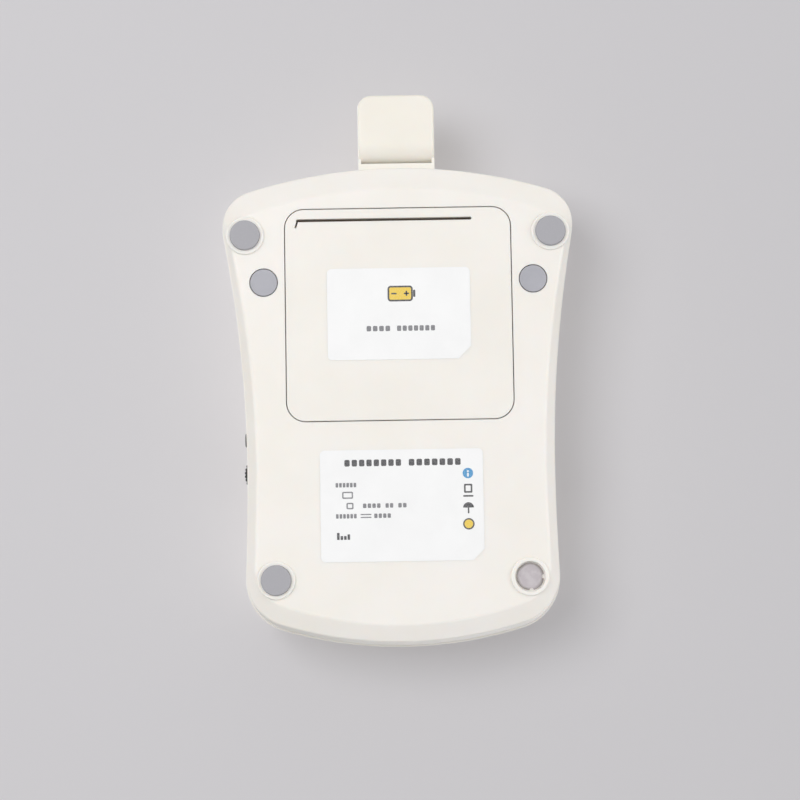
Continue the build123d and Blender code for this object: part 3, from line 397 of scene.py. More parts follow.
@dataclass(frozen=True)
class CoatedFilm(Finish):
    """White polyester label film with a matt top coat: nearly flat white, with a faint orange-peel."""

    shade: str = "#000000"
    clouding_mm: float = 12.5
    peel_mm: float = 2.5
    peel_depth_mm: float = 0.006

    def wire(self, surface: Surface) -> None:
        """Join the film's faint clouding and its peel to the shader.

        Args:
            surface: the material in the making.
        """
        surface.tint(surface.cloud(self.clouding_mm), self.colour, self.shade)
        surface.relief(surface.cloud(self.peel_mm), self.peel_depth_mm)


@dataclass(frozen=True)
class PrintingInk(Finish):
    """Screen or ribbon printed ink: a thin even layer whose density varies a little with the mesh.

    The pale film under it shows through a little where the layer is thin.
    """

    film: str = "#f2f2f2"
    thin: float = 0.18
    mesh_mm: float = 0.4

    def wire(self, surface: Surface) -> None:
        """Join the ink's colour, thinned here and there by the film under it, to the shader."""
        surface.tint(surface.cloud(self.mesh_mm), self.colour, self.film, self.thin)


@dataclass(frozen=True)
class WorkedMetal(Finish):
    """Plated, turned or stamped metal: fine scratches one way from its tool, under soft tarnish."""

    tarnish: str = "#000000"
    tarnish_share: float = 0.35
    tarnish_mm: float = 3.0
    lay: Lay = Lay.EVEN
    scratch_mm: float = 0.12
    scratch_depth_mm: float = 0.004
    scratch_strength: float = 0.5
    shinier: float = 0.08
    duller: float = 0.14

    def wire(self, surface: Surface) -> None:
        """Join the plate's colour, its scratches and its tarnish to the shader.

        Args:
            surface: the material in the making.
        """
        surface.shader.inputs["Metallic"].default_value = 1.0
        stain = surface.cloud(self.tarnish_mm, detail=4.0)
        surface.tint(stain, self.colour, self.tarnish, self.tarnish_share)
        scratches = surface.cloud(self.scratch_mm, lay=self.lay)
        surface.gloss(scratches, self.roughness - self.shinier, self.roughness + self.duller)
        surface.relief(scratches, self.scratch_depth_mm, self.scratch_strength)


@dataclass(frozen=True)
class ClearPlastic(Finish):
    """Clear moulded acrylic: see-through and polished, with hairline wipe marks."""

    hairline_mm: float = 0.25
    hairline_fades: Span = (0.5, 0.7)
    duller: float = 0.05

    def wire(self, surface: Surface) -> None:
        """Join the clear body and its hairlines to the shader.

        Args:
            surface: the material in the making.
        """
        surface.shader.inputs["Base Color"].default_value = linear(self.colour)
        surface.shader.inputs["Transmission Weight"].default_value = 1.0
        wiped = surface.cloud(self.hairline_mm, lay=Lay.ALONG_X)
        surface.gloss(wiped, self.roughness, self.roughness + self.duller, self.hairline_fades)


@dataclass(frozen=True)
class LiquidCrystalGlass(Finish):
    """A reflective liquid-crystal cell, switched off: grey-green, even, with a faint rubbed-in streak."""

    streak: str = "#000000"
    streak_mm: float = 4.0
    haze_mm: float = 1.0
    duller: float = 0.04

    def wire(self, surface: Surface) -> None:
        """Join the cell's tint, its streaks and its haze to the shader."""
        surface.tint(surface.cloud(self.streak_mm, lay=Lay.ALONG_Y), self.colour, self.streak)
        surface.gloss(surface.cloud(self.haze_mm), self.roughness, self.roughness + self.duller)


@dataclass(frozen=True)
class SolderMaskBoard(Finish):
    """Glass-epoxy circuit board under green solder mask: copper runs show as paler, raised lines.

    Between them the mask is darker here and there, where the glass weave lies deeper.
    """

    run: str = "#000000"
    run_pitch_mm: float = 2.4
    run_edges: Span = (0.36, 0.42)
    weave: str = "#0b3a1c"
    weave_mm: float = 0.9
    weave_share: float = 0.25
    copper_height_mm: float = 0.035

    def wire(self, surface: Surface) -> None:
        """Join the mask, the copper runs under it and their relief to the shader.

        Args:
            surface: the material in the making.
        """
        cells = add_node(
            surface.tree,
            "ShaderNodeTexVoronoi",
            settings={"distance": "CHEBYCHEV", "feature": "F1"},
            values={"Scale": per_metre(self.run_pitch_mm), "Randomness": 0.8},
            links={"Vector": surface.coords},
        )
        runs = add_node(
            surface.tree,
            "ShaderNodeMapRange",
            values={"From Min": self.run_edges[0], "From Max": self.run_edges[1]},
            links={"Value": cells.outputs["Distance"]},
        ).outputs[0]
        mask = surface.tint(surface.cloud(self.weave_mm), self.colour, self.weave, self.weave_share)
        surface.tint(runs, mask, self.run, fades=(0.0, 1.0))
        surface.relief(runs, self.copper_height_mm)


@dataclass(frozen=True)
class FlexFilm(Finish):
    """Amber polyimide flat cable: copper tracks run along it and darken the film in even stripes."""

    track: str = "#000000"
    track_mm: float = 1.0
    track_edges: Span = (0.45, 0.6)
    track_height_mm: float = 0.03

    def wire(self, surface: Surface) -> None:
        """Join the film and its stripes to the shader.

        Args:
            surface: the material in the making.
        """
        stripes = add_node(
            surface.tree,
            "ShaderNodeTexWave",
            settings={"wave_type": "BANDS", "bands_direction": "X"},
            values={"Scale": bands_per_metre(self.track_mm), "Distortion": 0.0},
            links={"Vector": surface.coords},
        ).outputs[1]
        tracks = add_node(
            surface.tree,
            "ShaderNodeMapRange",
            values={"From Min": self.track_edges[0], "From Max": self.track_edges[1]},
            links={"Value": stripes},
        ).outputs[0]
        surface.tint(tracks, self.colour, self.track, fades=(0.0, 1.0))
        surface.relief(tracks, self.track_height_mm)


@dataclass(frozen=True)
class PressedFibre(Finish):
    """Fibres pressed into a sheet, paper pulp or wool felt: matt, with short ends that catch the light."""

    fibre: str = "#000000"
    fibre_mm: float = 0.45
    fibre_fades: Span = (0.5, 0.68)
    nap_mm: float = 0.08

    def wire(self, surface: Surface) -> None:
        """Join the sheet's fibres and their nap to the shader.

        Args:
            surface: the material in the making.
        """
        fibres = surface.cloud(self.fibre_mm, detail=6.0)
        surface.tint(fibres, self.colour, self.fibre, fades=self.fibre_fades)
        surface.relief(fibres, self.nap_mm)


@dataclass(frozen=True)
class WovenCloth(Finish):
    """Plain-woven polyester dust cloth: dark gaps between pale threads that cross.

    The threads are drawn 0.5 mm wide, coarser than the real ones, so that they show.
    """

    gap: str = "#000000"
    thread_mm: float = 0.5
    thread_sway: float = 0.3
    thread_height_mm: float = 0.08

    def wire(self, surface: Surface) -> None:
        """Join the crossing threads to the shader.

        Args:
            surface: the material in the making.
        """
        threads = [
            add_node(
                surface.tree,
                "ShaderNodeTexWave",
                settings={"wave_type": "BANDS", "bands_direction": way},
                values={"Scale": bands_per_metre(self.thread_mm), "Distortion": self.thread_sway},
                links={"Vector": surface.coords},
            ).outputs[1]
            for way in ("X", "Y")
        ]
        weave = add_node(
            surface.tree,
            "ShaderNodeMath",
            settings={"operation": "MAXIMUM"},
            links={0: threads[0], 1: threads[1]},
        ).outputs[0]
        surface.tint(weave, self.gap, self.colour, fades=(0.0, 1.0))
        surface.relief(weave, self.thread_height_mm)


# Warm white ABS of the two shells: light soaks in a little and softens its edges
SHELL_CREAM = MouldedPlastic(
    "cream_abs_moulded", "#f4f0eb", 1.53, 0.42, shade="#f1ede6", grain_mm=0.6, glow=0.4
)
# The cover is a separate moulding, a shade yellower than the shell round it
COVER_CREAM = MouldedPlastic(
    "cream_abs_cover_moulded", "#f3efe9", 1.53, 0.42, shade="#f0ece5", grain_mm=0.6, glow=0.4
)
# The hook is another one, smoother and a shade yellower still, so that it stands off the shell
HOOK_CREAM = MouldedPlastic(
    "cream_abs_hook_moulded",
    "#f2eee5",
    1.53,
    0.36,
    shade="#efebe1",
    grain_mm=0.6,
    grain_depth_mm=0.003,
    glow=0.4,
)
# Stick-on feet of polyurethane: cool grey and matt, with pale dust in the skin
FOOT_GREY = MouldedRubber("grey_polyurethane_moulded", "#a8a7ac", 1.5, 0.55, dust="#c0bfc3")
# Push-in screw plugs of ABS: a little paler and smoother than the feet
PLUG_GREY = MouldedPlastic(
    "grey_abs_plug_moulded", "#aeaeb5", 1.53, 0.45, shade="#a8a8af", grain_mm=0.4, drift_mm=8.0
)
# What the lost foot left in its cup: silvery pink glue with painted shade round its edge
GLUE = PeeledAdhesive("acrylic_adhesive_peeled", "#beb7bb", 1.48, 0.42, torn="#c7c1c4")
# Sticker film: the one flat, cold white on the warm shell
LABEL_WHITE = CoatedFilm("polyester_label_coated", "#f6f6f6", 1.55, 0.5, shade="#f3f3f3")
# Dull black ABS of the wheel, the display frame, a jack and the contact block
BLACK_ABS = MouldedPlastic("black_abs_moulded", "#1b1b1d", 1.53, 0.5, shade="#242426", drift_mm=6.0)
# Phone jack of filled nylon: mid grey and dull, so that its bore reads as a dark spot
JACK_NYLON = MouldedPlastic("grey_nylon_moulded", "#6d6c69", 1.53, 0.5, shade="#646360", drift_mm=6.0)
# Keys of ABS with through-coloured resin: three blue-grey ones, and a red one for power
KEY_GREY = MouldedPlastic(
    "blue_grey_abs_key_moulded", "#9aa3ae", 1.53, 0.42, shade="#949da9", drift_mm=9.0
)
KEY_RED = MouldedPlastic("red_abs_key_moulded", "#b9473f", 1.53, 0.42, shade="#b1423b", drift_mm=9.0)
# Battery case of polycarbonate: dark blue, a little glossier than ABS
PACK_BLUE = MouldedPlastic(
    "navy_polycarbonate_moulded", "#26314a", 1.58, 0.38, shade="#202a40", drift_mm=12.0
)
# Keypad mat of silicone rubber: pale grey and matt
MAT_SILICONE = MouldedRubber("grey_silicone_moulded", "#b9b9bc", 1.42, 0.6, dust="#c9c9cc")
# Foam gasket: black, open-celled, with no gloss at all
GASKET_FOAM = MouldedRubber(
    "black_polyurethane_foam", "#222224", 1.45, 0.9, dust="#3a3a3c", skin_mm=0.5, skin_depth_mm=0.08
)
# Acrylic of the display lens, polished, and of the light pipe, as it left the mould
LENS_CLEAR = ClearPlastic("clear_acrylic_polished", "#eef2f1", 1.49, 0.03)
PIPE_CLEAR = ClearPlastic("clear_acrylic_pipe_moulded", "#f0f4f2", 1.49, 0.08)
# Charge light of cast epoxy: milky and shiny, unlit
LIGHT_EPOXY = MouldedPlastic("milky_epoxy_cast", "#e6e3c9", 1.54, 0.2, shade="#dedbbd", drift_mm=2.0)
# Liquid-crystal cell, switched off: grey-green, with segments that are darker but far from black
CELL_GLASS = LiquidCrystalGlass("liquid_crystal_cell", "#8e9c8c", 1.52, 0.12, streak="#899787")
SEGMENT_TINT = PrintingInk("liquid_crystal_segments_unlit", "#4d5a50", 1.5, 0.3, thin=0.05)
# Backlight spreader of opal acrylic: white, with a soft sheen
SPREADER = MouldedPlastic(
    "milky_acrylic_sheet_extruded", "#eceff2", 1.49, 0.35, shade="#e4e8ec", drift_mm=15.0
)
# Glass-epoxy board under green solder mask: shiny dark green with paler copper runs
BOARD_GREEN = SolderMaskBoard("glass_epoxy_board_masked", "#0f5a2b", 1.5, 0.3, run="#2c8748")
# Display ribbon of polyimide: shiny amber with darker tracks
RIBBON_AMBER = FlexFilm("polyimide_cable_laminated", "#c27a24", 1.6, 0.3, track="#8d4f14")
# Chip packages and the volume pot, of filled epoxy: charcoal and dead matt
CHIP_EPOXY = MouldedPlastic(
    "black_epoxy_transfer_moulded", "#232325", 1.55, 0.6, shade="#2b2b2d", drift_mm=3.0
)
# Zinc-plated screws: cool grey, half bright
SCREW_ZINC = WorkedMetal(
    "zinc_plated_steel", "#c3c4c6", roughness=0.32, tarnish="#9d9fa3", lay=Lay.ALONG_Z
)
# Turned brass inserts: yellow, with browner tarnish
INSERT_BRASS = WorkedMetal("brass_turned", "#d5b066", roughness=0.3, tarnish="#a98545", lay=Lay.ALONG_Z)
# Shield can of tinned sheet: pale, with the fine lines of the rolling mill
CAN_TIN = WorkedMetal(
    "tinned_steel_stamped", "#d2d2d0", roughness=0.36, tarnish="#b4b4b0", lay=Lay.ALONG_X
)
# Battery cells in aluminium pouch foil: pale and even
CELL_FOIL = WorkedMetal("aluminium_pouch_laminated", "#cfd1d4", roughness=0.42, tarnish="#b7babf")
# Gold-plated pads and pins: the brightest metal of all
GOLD_PLATE = WorkedMetal(
    "gold_plated_brass", "#e6c271", roughness=0.24, tarnish="#cba356", lay=Lay.ALONG_Z
)
# Nickel-plated socket and nut: warm grey and bright, with turning lines
NICKEL = WorkedMetal(
    "nickel_plated_brass_turned", "#c9c6bf", roughness=0.22, tarnish="#a8a49b", lay=Lay.ALONG_X
)
# Speaker basket of enamelled steel: black with a soft sheen, and no bare metal
BASKET_BLACK = MouldedPlastic(
    "black_enamel_on_stamped_steel", "#1e1e20", 1.5, 0.35, shade="#27272a", drift_mm=5.0
)
# Nickelled magnet: mid grey and dull
MAGNET_GREY = WorkedMetal("sintered_magnet_nickelled", "#8f8f92", roughness=0.4, tarnish="#6c6c70")
# Speaker cone of black paper pulp, and brown wool felt whose brown is painted shade behind the flex slot:
# no gloss, short fibres
CONE_PULP = PressedFibre("black_paper_pulp_pressed", "#1d1d1f", 1.45, 0.85, fibre="#3b3b3d")
SLOT_SHADE_FELT = PressedFibre("brown_felt_slot_shade_painted", "#8a7c70", 1.45, 0.9, fibre="#9b8d80")
# Dust cloth before the speaker: near black, with dark gaps between its threads
DUST_CLOTH = WovenCloth("black_polyester_woven", "#343437", 1.5, 0.8, gap="#101012")


def ink(tone: InkTone) -> PrintingInk:
    """The printing ink of one tone."""
    return PrintingInk(f"ink_{tone.name.lower()}_printed", tone.value, 1.5, 0.55)


def rounded_rectangle(centre: Point, width: float, height: float, radius: float, steps: int = 5) -> Loop:
    """Outline of a rectangle with rounded corners.

    Args:
        centre: its middle.
        width: its size along the first axis.
        height: its size along the second axis.
        radius: the corners' radius.
        steps: how many runs each corner has.

    Returns:
        The outline's points, anticlockwise.
    """
    radius = min(radius, width / 2 - LEAST_STRAIGHT_MM, height / 2 - LEAST_STRAIGHT_MM)
    loop: Loop = []
    for quarter, (way_x, way_y) in enumerate(((1, 1), (-1, 1), (-1, -1), (1, -1))):
        for step in range(steps + 1):
            angle = math.pi / 2 * (quarter + step / steps)
            x = centre[0] + way_x * (width / 2 - radius) + radius * math.cos(angle)
            y = centre[1] + way_y * (height / 2 - radius) + radius * math.sin(angle)
            loop.append((x, y))
    return loop


class Mark:
    """Something printed, in millimetres as it is read: to the right and up from its sheet's middle."""

    def patches(self) -> list[Patch]:
        """Outline each patch of ink, and its hole where it has one."""
        raise NotImplementedError


@dataclass(frozen=True)
class Block(Mark):
    """A rectangle with rounded corners, or a frame where it has a hole."""

    centre: Point
    width: float
    height: float
    radius: float = 0.2
    hole: Point | None = None
    hole_radius: float = 0.2

    def patches(self) -> list[Patch]:
        """Outline the rectangle and its hole.

        Returns:
            Its one patch.
        """
        patch = [rounded_rectangle(self.centre, self.width, self.height, self.radius)]
        if self.hole is not None:
            patch.append(rounded_rectangle(self.centre, *self.hole, self.hole_radius))
        return [patch]


@dataclass(frozen=True)
class Disc(Mark):
    """A round spot, or a ring where it has a hole."""

    centre: Point
    radius: float
    hole: float = 0.0
    steps: int = 40

    def patches(self) -> list[Patch]:
        """Outline the spot and its hole.

        Returns:
            Its one patch.
        """
        x, y = self.centre
        turns = [2 * math.pi * i / self.steps for i in range(self.steps)]
        radii = [self.radius, self.hole] if self.hole else [self.radius]
        return [[[(x + r * math.cos(a), y + r * math.sin(a)) for a in turns] for r in radii]]


@dataclass(frozen=True)
class Arc(Mark):
    """A bent bar that follows a circle, from one angle to another in degrees."""

    centre: Point
    radius: float
    thickness: float
    start: float
    end: float
    steps: int = 28

    def patches(self) -> list[Patch]:
        """Outline the bar.

        Returns:
            Its one patch.
        """
        x, y = self.centre
        turn = self.end - self.start
        angles = [math.radians(self.start + turn * i / self.steps) for i in range(self.steps + 1)]
        outer = [(self.radius + self.thickness / 2, a) for a in angles]
        inner = [(self.radius - self.thickness / 2, a) for a in reversed(angles)]
        return [[[(x + r * math.cos(a), y + r * math.sin(a)) for r, a in outer + inner]]]


@dataclass(frozen=True)
class Word(Mark):
    """A word drawn as a row of plain blocks, one for each letter, from its start to its end."""

    level: float
    start: float
    end: float
    letters: int
    height: float = 1.4

    def patches(self) -> list[Patch]:
        """Outline the blocks.

        Returns:
            One patch for each letter.
        """
        pitch = (self.end - self.start) / self.letters
        width = pitch * BLOCK_SHARE
        radius = min(width, self.height) / 4
        places = [self.start + pitch * (i + 0.5) for i in range(self.letters)]
        return [[rounded_rectangle((x, self.level), width, self.height, radius)] for x in places]


@dataclass
class Sheet:
    """Where a printed layer lies: its middle, its level, and which way it faces."""

    middle: Point
    level: float
    faces_down: bool
    thickness_mm: float = 0.04
    sink_mm: float = 0.02

    def place(self, mark: Point) -> Point:
        """Turn a mark's point, in millimetres as read, into the frame's metres."""
        side = -1 if self.faces_down else 1
        return (self.middle[0] + side * mark[0] * MM, self.middle[1] + mark[1] * MM)

    def span(self) -> Span:
        """Find how high the layer lies.

        Returns:
            Its lowest and highest level, in metres.
        """
        side = -1 if self.faces_down else 1
        ends = (self.level - side * self.sink_mm * MM, self.level + side * self.thickness_mm * MM)
        return (min(ends), max(ends))


def sheet_on(node: str, faces_down: bool, **sizes: float) -> Sheet:
    """Lay a sheet on a CAD node's lower or upper face, centred on it.

    Args:
        node: the CAD node's name.
        faces_down: whether it lies on the lower face.
        sizes: the sheet's own thickness_mm or sink_mm.

    Returns:
        The sheet.
    """
    low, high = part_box(node)
    level = low.z if faces_down else high.z
    return Sheet(((low.x + high.x) / 2, (low.y + high.y) / 2), level, faces_down, **sizes)


def add_prism(mesh: bmesh.types.BMesh, patch: Patch, low: float, high: float) -> None:
    """Add one upright prism to a mesh.

    Args:
        mesh: the mesh that gets it.
        patch: its outline in metres, and the outline of a hole with as many points if it has one.
        low: its lower level.
        high: its upper level.
    """
    rings = [[[mesh.verts.new((x, y, z)) for x, y in loop] for z in (low, high)] for loop in patch]
    count = len(patch[0])
    for lower, upper in rings:
        for i in range(count):
            j = (i + 1) % count
            mesh.faces.new((lower[i], lower[j], upper[j], upper[i]))
    if len(rings) == 1:
        mesh.faces.new(rings[0][1])
        mesh.faces.new(tuple(reversed(rings[0][0])))
        return
    outer, inner = rings
    for level in (0, 1):
        for i in range(count):
            j = (i + 1) % count
            mesh.faces.new((outer[level][i], outer[level][j], inner[level][j], inner[level][i]))


def printed(name: str, sheet: Sheet, marks: Sequence[Mark], finish: Finish, body: str) -> None:
    """Make one printed layer from its marks.

    Args:
        name: the piece's name.
        sheet: where the layer lies.
        marks: what is printed on it.
        finish: the ink or film.
        body: the CAD body that it rides on.
    """
    low, high = sheet.span()
    patches = [patch for mark in marks for patch in mark.patches()]
    mesh = bmesh.new()
    for patch in patches:
        add_prism(mesh, [[sheet.place(p) for p in loop] for loop in patch], low, high)
    bmesh.ops.recalc_face_normals(mesh, faces=mesh.faces)
    data = bpy.data.meshes.new(name)
    mesh.to_mesh(data)
    mesh.free()
    data.materials.append(finish.build())
    piece = bpy.data.objects.new(name, data)
    bpy.context.scene.collection.objects.link(piece)
    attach(piece, body)
    log.info("%s is %s, %d marks", name, finish.name, len(patches))


@dataclass
class SubAssembly:
    """CAD nodes that belong together, with each one's finish and what is printed or stuck on them.

    Its sizes are in millimetres, and its marks lie as their sheet is read.
    """

    nodes: Mapping[str, Finish] = field(default_factory=dict)

    def dress(self) -> None:
        """Give each CAD node its finish."""
        for node, finish in self.nodes.items():
            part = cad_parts[node]
            material = finish.build()
            if not part.material_slots:
                part.data.materials.append(material)
            for slot in part.material_slots:
                slot.material = material
            log.info("%s is %s", node, finish.name)

    def build(self) -> None:
        """Make the pieces that the CAD model doesn't have. A group of plain solids has none."""


@dataclass
class Shell(SubAssembly):
    """The moulded outside: both shells, the battery cover and the probe hook.

    Behind the cover's flex slot the rear shell is open, and a brown felt strip inside it is painted shade:
    its colour stands for the shaded wall that the slot looks onto.
    """

    nodes: Mapping[str, Finish] = field(
        default_factory=lambda: {
            "rear_housing": SHELL_CREAM,
            "front_housing": SHELL_CREAM,
            "battery_cover": COVER_CREAM,
            "probe_hook": HOOK_CREAM,
        }
    )
    slot_ends: Span = (-23.6, 32.3)
    slot_from_edge: float = 3.5
    slot_shade_level: float = 4.0
    slot_shade_width: float = 3.3
    slot_shade_thickness: float = 0.5
    slot_shade_setback: float = 0.75
    slot_shade_lap: float = 1.4
    slot_shade_corner: float = 0.3

    def build(self) -> None:
        """Stick the brown felt behind the flex slot as painted shade; it shows through it as a dark brown
        line.
        """
        low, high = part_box("battery_cover")
        left, right = self.slot_ends
        middle = ((left + right) / 2 * MM, high.y - (self.slot_from_edge + self.slot_shade_setback) * MM)
        sheet = Sheet(middle, low.z + self.slot_shade_level * MM, False, thickness_mm=self.slot_shade_thickness)
        strip = Block((0.0, 0.0), right - left + 2 * self.slot_shade_lap, self.slot_shade_width, self.slot_shade_corner)
        # Painted shade: the strip's brown stands for the shaded wall seen through the slot
        printed("slot_shade_felt", sheet, [strip], SLOT_SHADE_FELT, "housing")


@dataclass
class FeetAndPlugs(SubAssembly):
    """What is stuck or pressed into the underside: three feet, a bare glue pad, two screw plugs."""

    nodes: Mapping[str, Finish] = field(
        default_factory=lambda: {
            "rubber_feet": FOOT_GREY,
            "foot_glue_pad": GLUE,
            "screw_plugs": PLUG_GREY,
            "housing_screws": SCREW_ZINC,
            "screw_inserts": INSERT_BRASS,
        }
    )


@dataclass
class CoverSticker(SubAssembly):
    """The sticker on the battery cover: a plain battery sign over two words drawn as blocks."""

    nodes: Mapping[str, Finish] = field(default_factory=lambda: {"cover_label": LABEL_WHITE})
    sign_centre: Point = (0.5, 6.4)
    sign_size: Point = (8.0, 5.0)
    sign_wall: float = 0.55
    sign_corner: float = 1.0
    window_corner: float = 0.5
    terminal_width: float = 0.7
    terminal_out: float = 0.45
    terminal_share: float = 1 / 2.2
    terminal_corner: float = 0.25
    pole_size: Point = (1.7, 0.5)
    words: Sequence[Mark] = (Word(-4.7, -10.6, -2.6, 4, 1.7), Word(-4.7, -0.9, 11.6, 7, 1.7))

    def build(self) -> None:
        """Print the battery sign and the words."""
        flat = sheet_on("cover_label", True)
        raised = sheet_on("cover_label", True, thickness_mm=OVERPRINT_MM)
        (x, y), (width, height), (length, stroke) = self.sign_centre, self.sign_size, self.pole_size
        window = (width - 2 * self.sign_wall, height - 2 * self.sign_wall)
        terminal = (x + width / 2 + self.terminal_out, y)
        sign = [
            Block((x, y), width, height, self.sign_corner, hole=window, hole_radius=self.window_corner),
            Block(
                terminal, self.terminal_width, height * self.terminal_share, self.terminal_corner
            ),
        ]
        charge = [Block((x, y), *window, self.window_corner)]
        poles = [
            Block((x - width / 4, y), length, stroke),
            Block((x + width / 4, y), length, stroke),
            Block((x + width / 4, y), stroke, length),
        ]
        for name, sheet, marks, tone in (
            ("cover_sticker_black", flat, sign, InkTone.BLACK),
            ("cover_sticker_yellow", flat, charge, InkTone.YELLOW),
            ("cover_sticker_signs", raised, poles, InkTone.BLACK),
            ("cover_sticker_words", flat, self.words, InkTone.GREY),
        ):
            printed(name, sheet, marks, ink(tone), "cover")


@dataclass
class BackSticker(SubAssembly):
    """The sticker on the rear panel: a heading, short lines, a row of steps and a column of marks."""

    nodes: Mapping[str, Finish] = field(default_factory=lambda: {"back_label": LABEL_WHITE})
    heading: Sequence[Mark] = (Word(13.5, -18.3, 0.2, 8, 2.1), Word(13.5, 2.0, 19.0, 7, 2.1))
    lines: Sequence[Mark] = (
        Word(6.6, -21.0, -14.2, 6),
        Word(-3.2, -21.0, -14.2, 6),
        Word(-3.2, -9.0, -3.4, 4),
        Word(0.0, -12.5, -6.6, 4),
        Word(0.0, -5.4, -2.6, 2),
        Word(0.0, -1.4, 1.6, 2),
        Block((-11.4, -2.75), 3.4, 0.35, 0.15),
        Block((-11.4, -3.65), 3.4, 0.35, 0.15),
        Block((-17.1, 3.4), 3.4, 2.2, 0.4, hole=(2.6, 1.4)),
        Block((-16.4, 0.0), 2.2, 2.0, 0.4, hole=(1.4, 1.2)),
    )
    step_heights: Sequence[float] = (2.2, 1.2, 1.2, 1.7)
    step_foot: Point = (-20.2, -10.6)
    step_pitch: float = 1.1
    step_width: float = 0.8
    step_corner: float = 0.15
    column: float = 20.9
    spot_level: float = -6.2
    spot_radius: float = 1.35
    spot_wall: float = 0.45
    badge_level: float = 9.8
    badge_radius: float = 1.65

    def build(self) -> None:
        """Print the heading, the lines and the marks."""
        x, (left, foot) = self.column, self.step_foot
        centres = [
            (left + self.step_pitch * i, foot + height / 2) for i, height in enumerate(self.step_heights)
        ]
        marks: list[Mark] = [
            Block(centre, self.step_width, height, self.step_corner)
            for centre, height in zip(centres, self.step_heights)
        ]
        marks += [
            Block((x, 5.0), 2.6, 2.8, 0.3, hole=(1.6, 1.8)),
            Block((x, 2.6), 3.2, 0.5),
            Arc((x, -1.1), 0.85, 1.7, 2, 178),
            Block((x, -2.0), 0.45, 1.8),
            Disc((x, self.spot_level), self.spot_radius + self.spot_wall, hole=self.spot_radius),
        ]
        spot = [Disc((x, self.spot_level), self.spot_radius)]
        badge = [Disc((x, self.badge_level), self.badge_radius)]
        dot = [Disc((x, 10.4), 0.32, steps=16), Block((x, 9.3), 0.6, 1.2, 0.25)]
        flat = sheet_on("back_label", True)
        raised = sheet_on("back_label", True, thickness_mm=OVERPRINT_MM)
        for name, sheet, drawn, tone in (
            ("back_sticker_heading", flat, self.heading, InkTone.BLACK),
            ("back_sticker_lines", flat, self.lines, InkTone.GREY),
            ("back_sticker_marks", flat, marks, InkTone.BLACK),
            ("back_sticker_yellow", flat, spot, InkTone.YELLOW),
            ("back_sticker_blue", flat, badge, InkTone.BLUE),
            ("back_sticker_dot", raised, dot, InkTone.WHITE),
        ):
            printed(name, sheet, drawn, ink(tone), "housing")


@dataclass
class BatteryPack(SubAssembly):
    """The slide-out pack: two pouch cells in a case with contact pads, and the block it meets."""

    nodes: Mapping[str, Finish] = field(
        default_factory=lambda: {
            "battery_case": PACK_BLUE,
            "battery_cells": CELL_FOIL,
            "battery_contact_pads": GOLD_PLATE,
            "contact_block": BLACK_ABS,
            "contact_pins": GOLD_PLATE,
        }
    )
    wrap: Block = Block((0.0, 0.0), 44.0, 22.0, 1.5)
    wrap_thickness: float = 0.08
    marks_thickness: float = 0.12
    marks: Sequence[Mark] = (
        Block((0.0, 5.0), 26.0, 1.6, 0.4),
        Block((0.0, 1.0), 18.0, 1.6, 0.4),
        Block((-16.0, -5.5), 3.4, 0.8, 0.3),
        Block((16.0, -5.5), 3.4, 0.8, 0.3),
        Block((16.0, -5.5), 0.8, 3.4, 0.3),
    )

    def build(self) -> None:
        """Stick a plain label with a plus and a minus on the pack's outer face."""
        flat = sheet_on("battery_case", True, thickness_mm=self.wrap_thickness)
        raised = sheet_on("battery_case", True, thickness_mm=self.marks_thickness)
        printed("pack_sticker", flat, [self.wrap], LABEL_WHITE, "battery")
        printed("pack_sticker_marks", raised, self.marks, ink(InkTone.GREY), "battery")


@dataclass
class Display(SubAssembly):
    """The screen: clear lens with a printed border, liquid-crystal cell, spreader and frame."""

    nodes: Mapping[str, Finish] = field(
        default_factory=lambda: {
            "display_lens": LENS_CLEAR,
            "display_gasket": GASKET_FOAM,
            "display_glass": CELL_GLASS,
            "backlight_sheet": SPREADER,
            "display_frame": BLACK_ABS,
            "display_ribbon": RIBBON_AMBER,
        }
    )
    window: Point = (62.0, 44.0)
    window_corner: float = 1.6
    border_margin: float = 0.4
    border_corner: float = 2.6
    border_thickness: float = 0.03
    digits_centre: Point = (4.0, 3.0)
    digit_size: Point = (9.0, 17.0)
    digit_gap: float = 4.5
    stroke: float = 1.5
    stroke_gap: float = 0.3
    corner: float = 0.3
    bars: int = 8
    first_bar: Point = (-24.0, -15.5)
    bar_pitch: float = 4.0
    bar_size: Point = (2.8, 1.4)
    bar_rise: float = 0.5
    ring: Arc = Arc((22.0, -14.0), 2.4, 0.7, 90, 450)

    def digit(self, centre: Point) -> list[Mark]:
        """The seven unlit strokes of one digit.

        Args:
            centre: the digit's middle.

        Returns:
            The three level strokes and the four upright ones.
        """
        (x, y), (width, height), stroke, gap = centre, self.digit_size, self.stroke, self.stroke_gap
        across = [
            Block((x, y + step), width - stroke - 2 * gap, stroke, self.corner)
            for step in (-height / 2, 0, height / 2)
        ]
        upright = [
            Block((x + side * width / 2, y + step), stroke, height / 2 - stroke + gap, self.corner)
            for side in (-1, 1)
            for step in (-height / 4, height / 4)
        ]
        return across + upright

    def build(self) -> None:
        """Print the lens's border and lay the unlit segments on the cell."""
        low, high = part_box("display_lens")
        size = [(high[axis] - low[axis]) / MM - 2 * self.border_margin for axis in (0, 1)]
        border = Block(
            (0.0, 0.0), *size, self.border_corner, hole=self.window, hole_radius=self.window_corner
        )
        under_lens = sheet_on("display_lens", True, thickness_mm=self.border_thickness)
        printed("display_border", under_lens, [border], ink(InkTone.BLACK), "housing")
        (x, y), pitch = self.digits_centre, self.digit_size[0] + self.digit_gap
        segments = [stroke for i in (-1, 0, 1) for stroke in self.digit((x + i * pitch, y))]
        (left, level), (width, height) = self.first_bar, self.bar_size
        for i in range(self.bars):
            centre = (left + self.bar_pitch * i, level)
            segments.append(Block(centre, width, height + self.bar_rise * i, self.corner))
        segments.append(self.ring)
        cell = sheet_on("display_glass", False)
        printed("display_segments", cell, segments, SEGMENT_TINT, "housing")


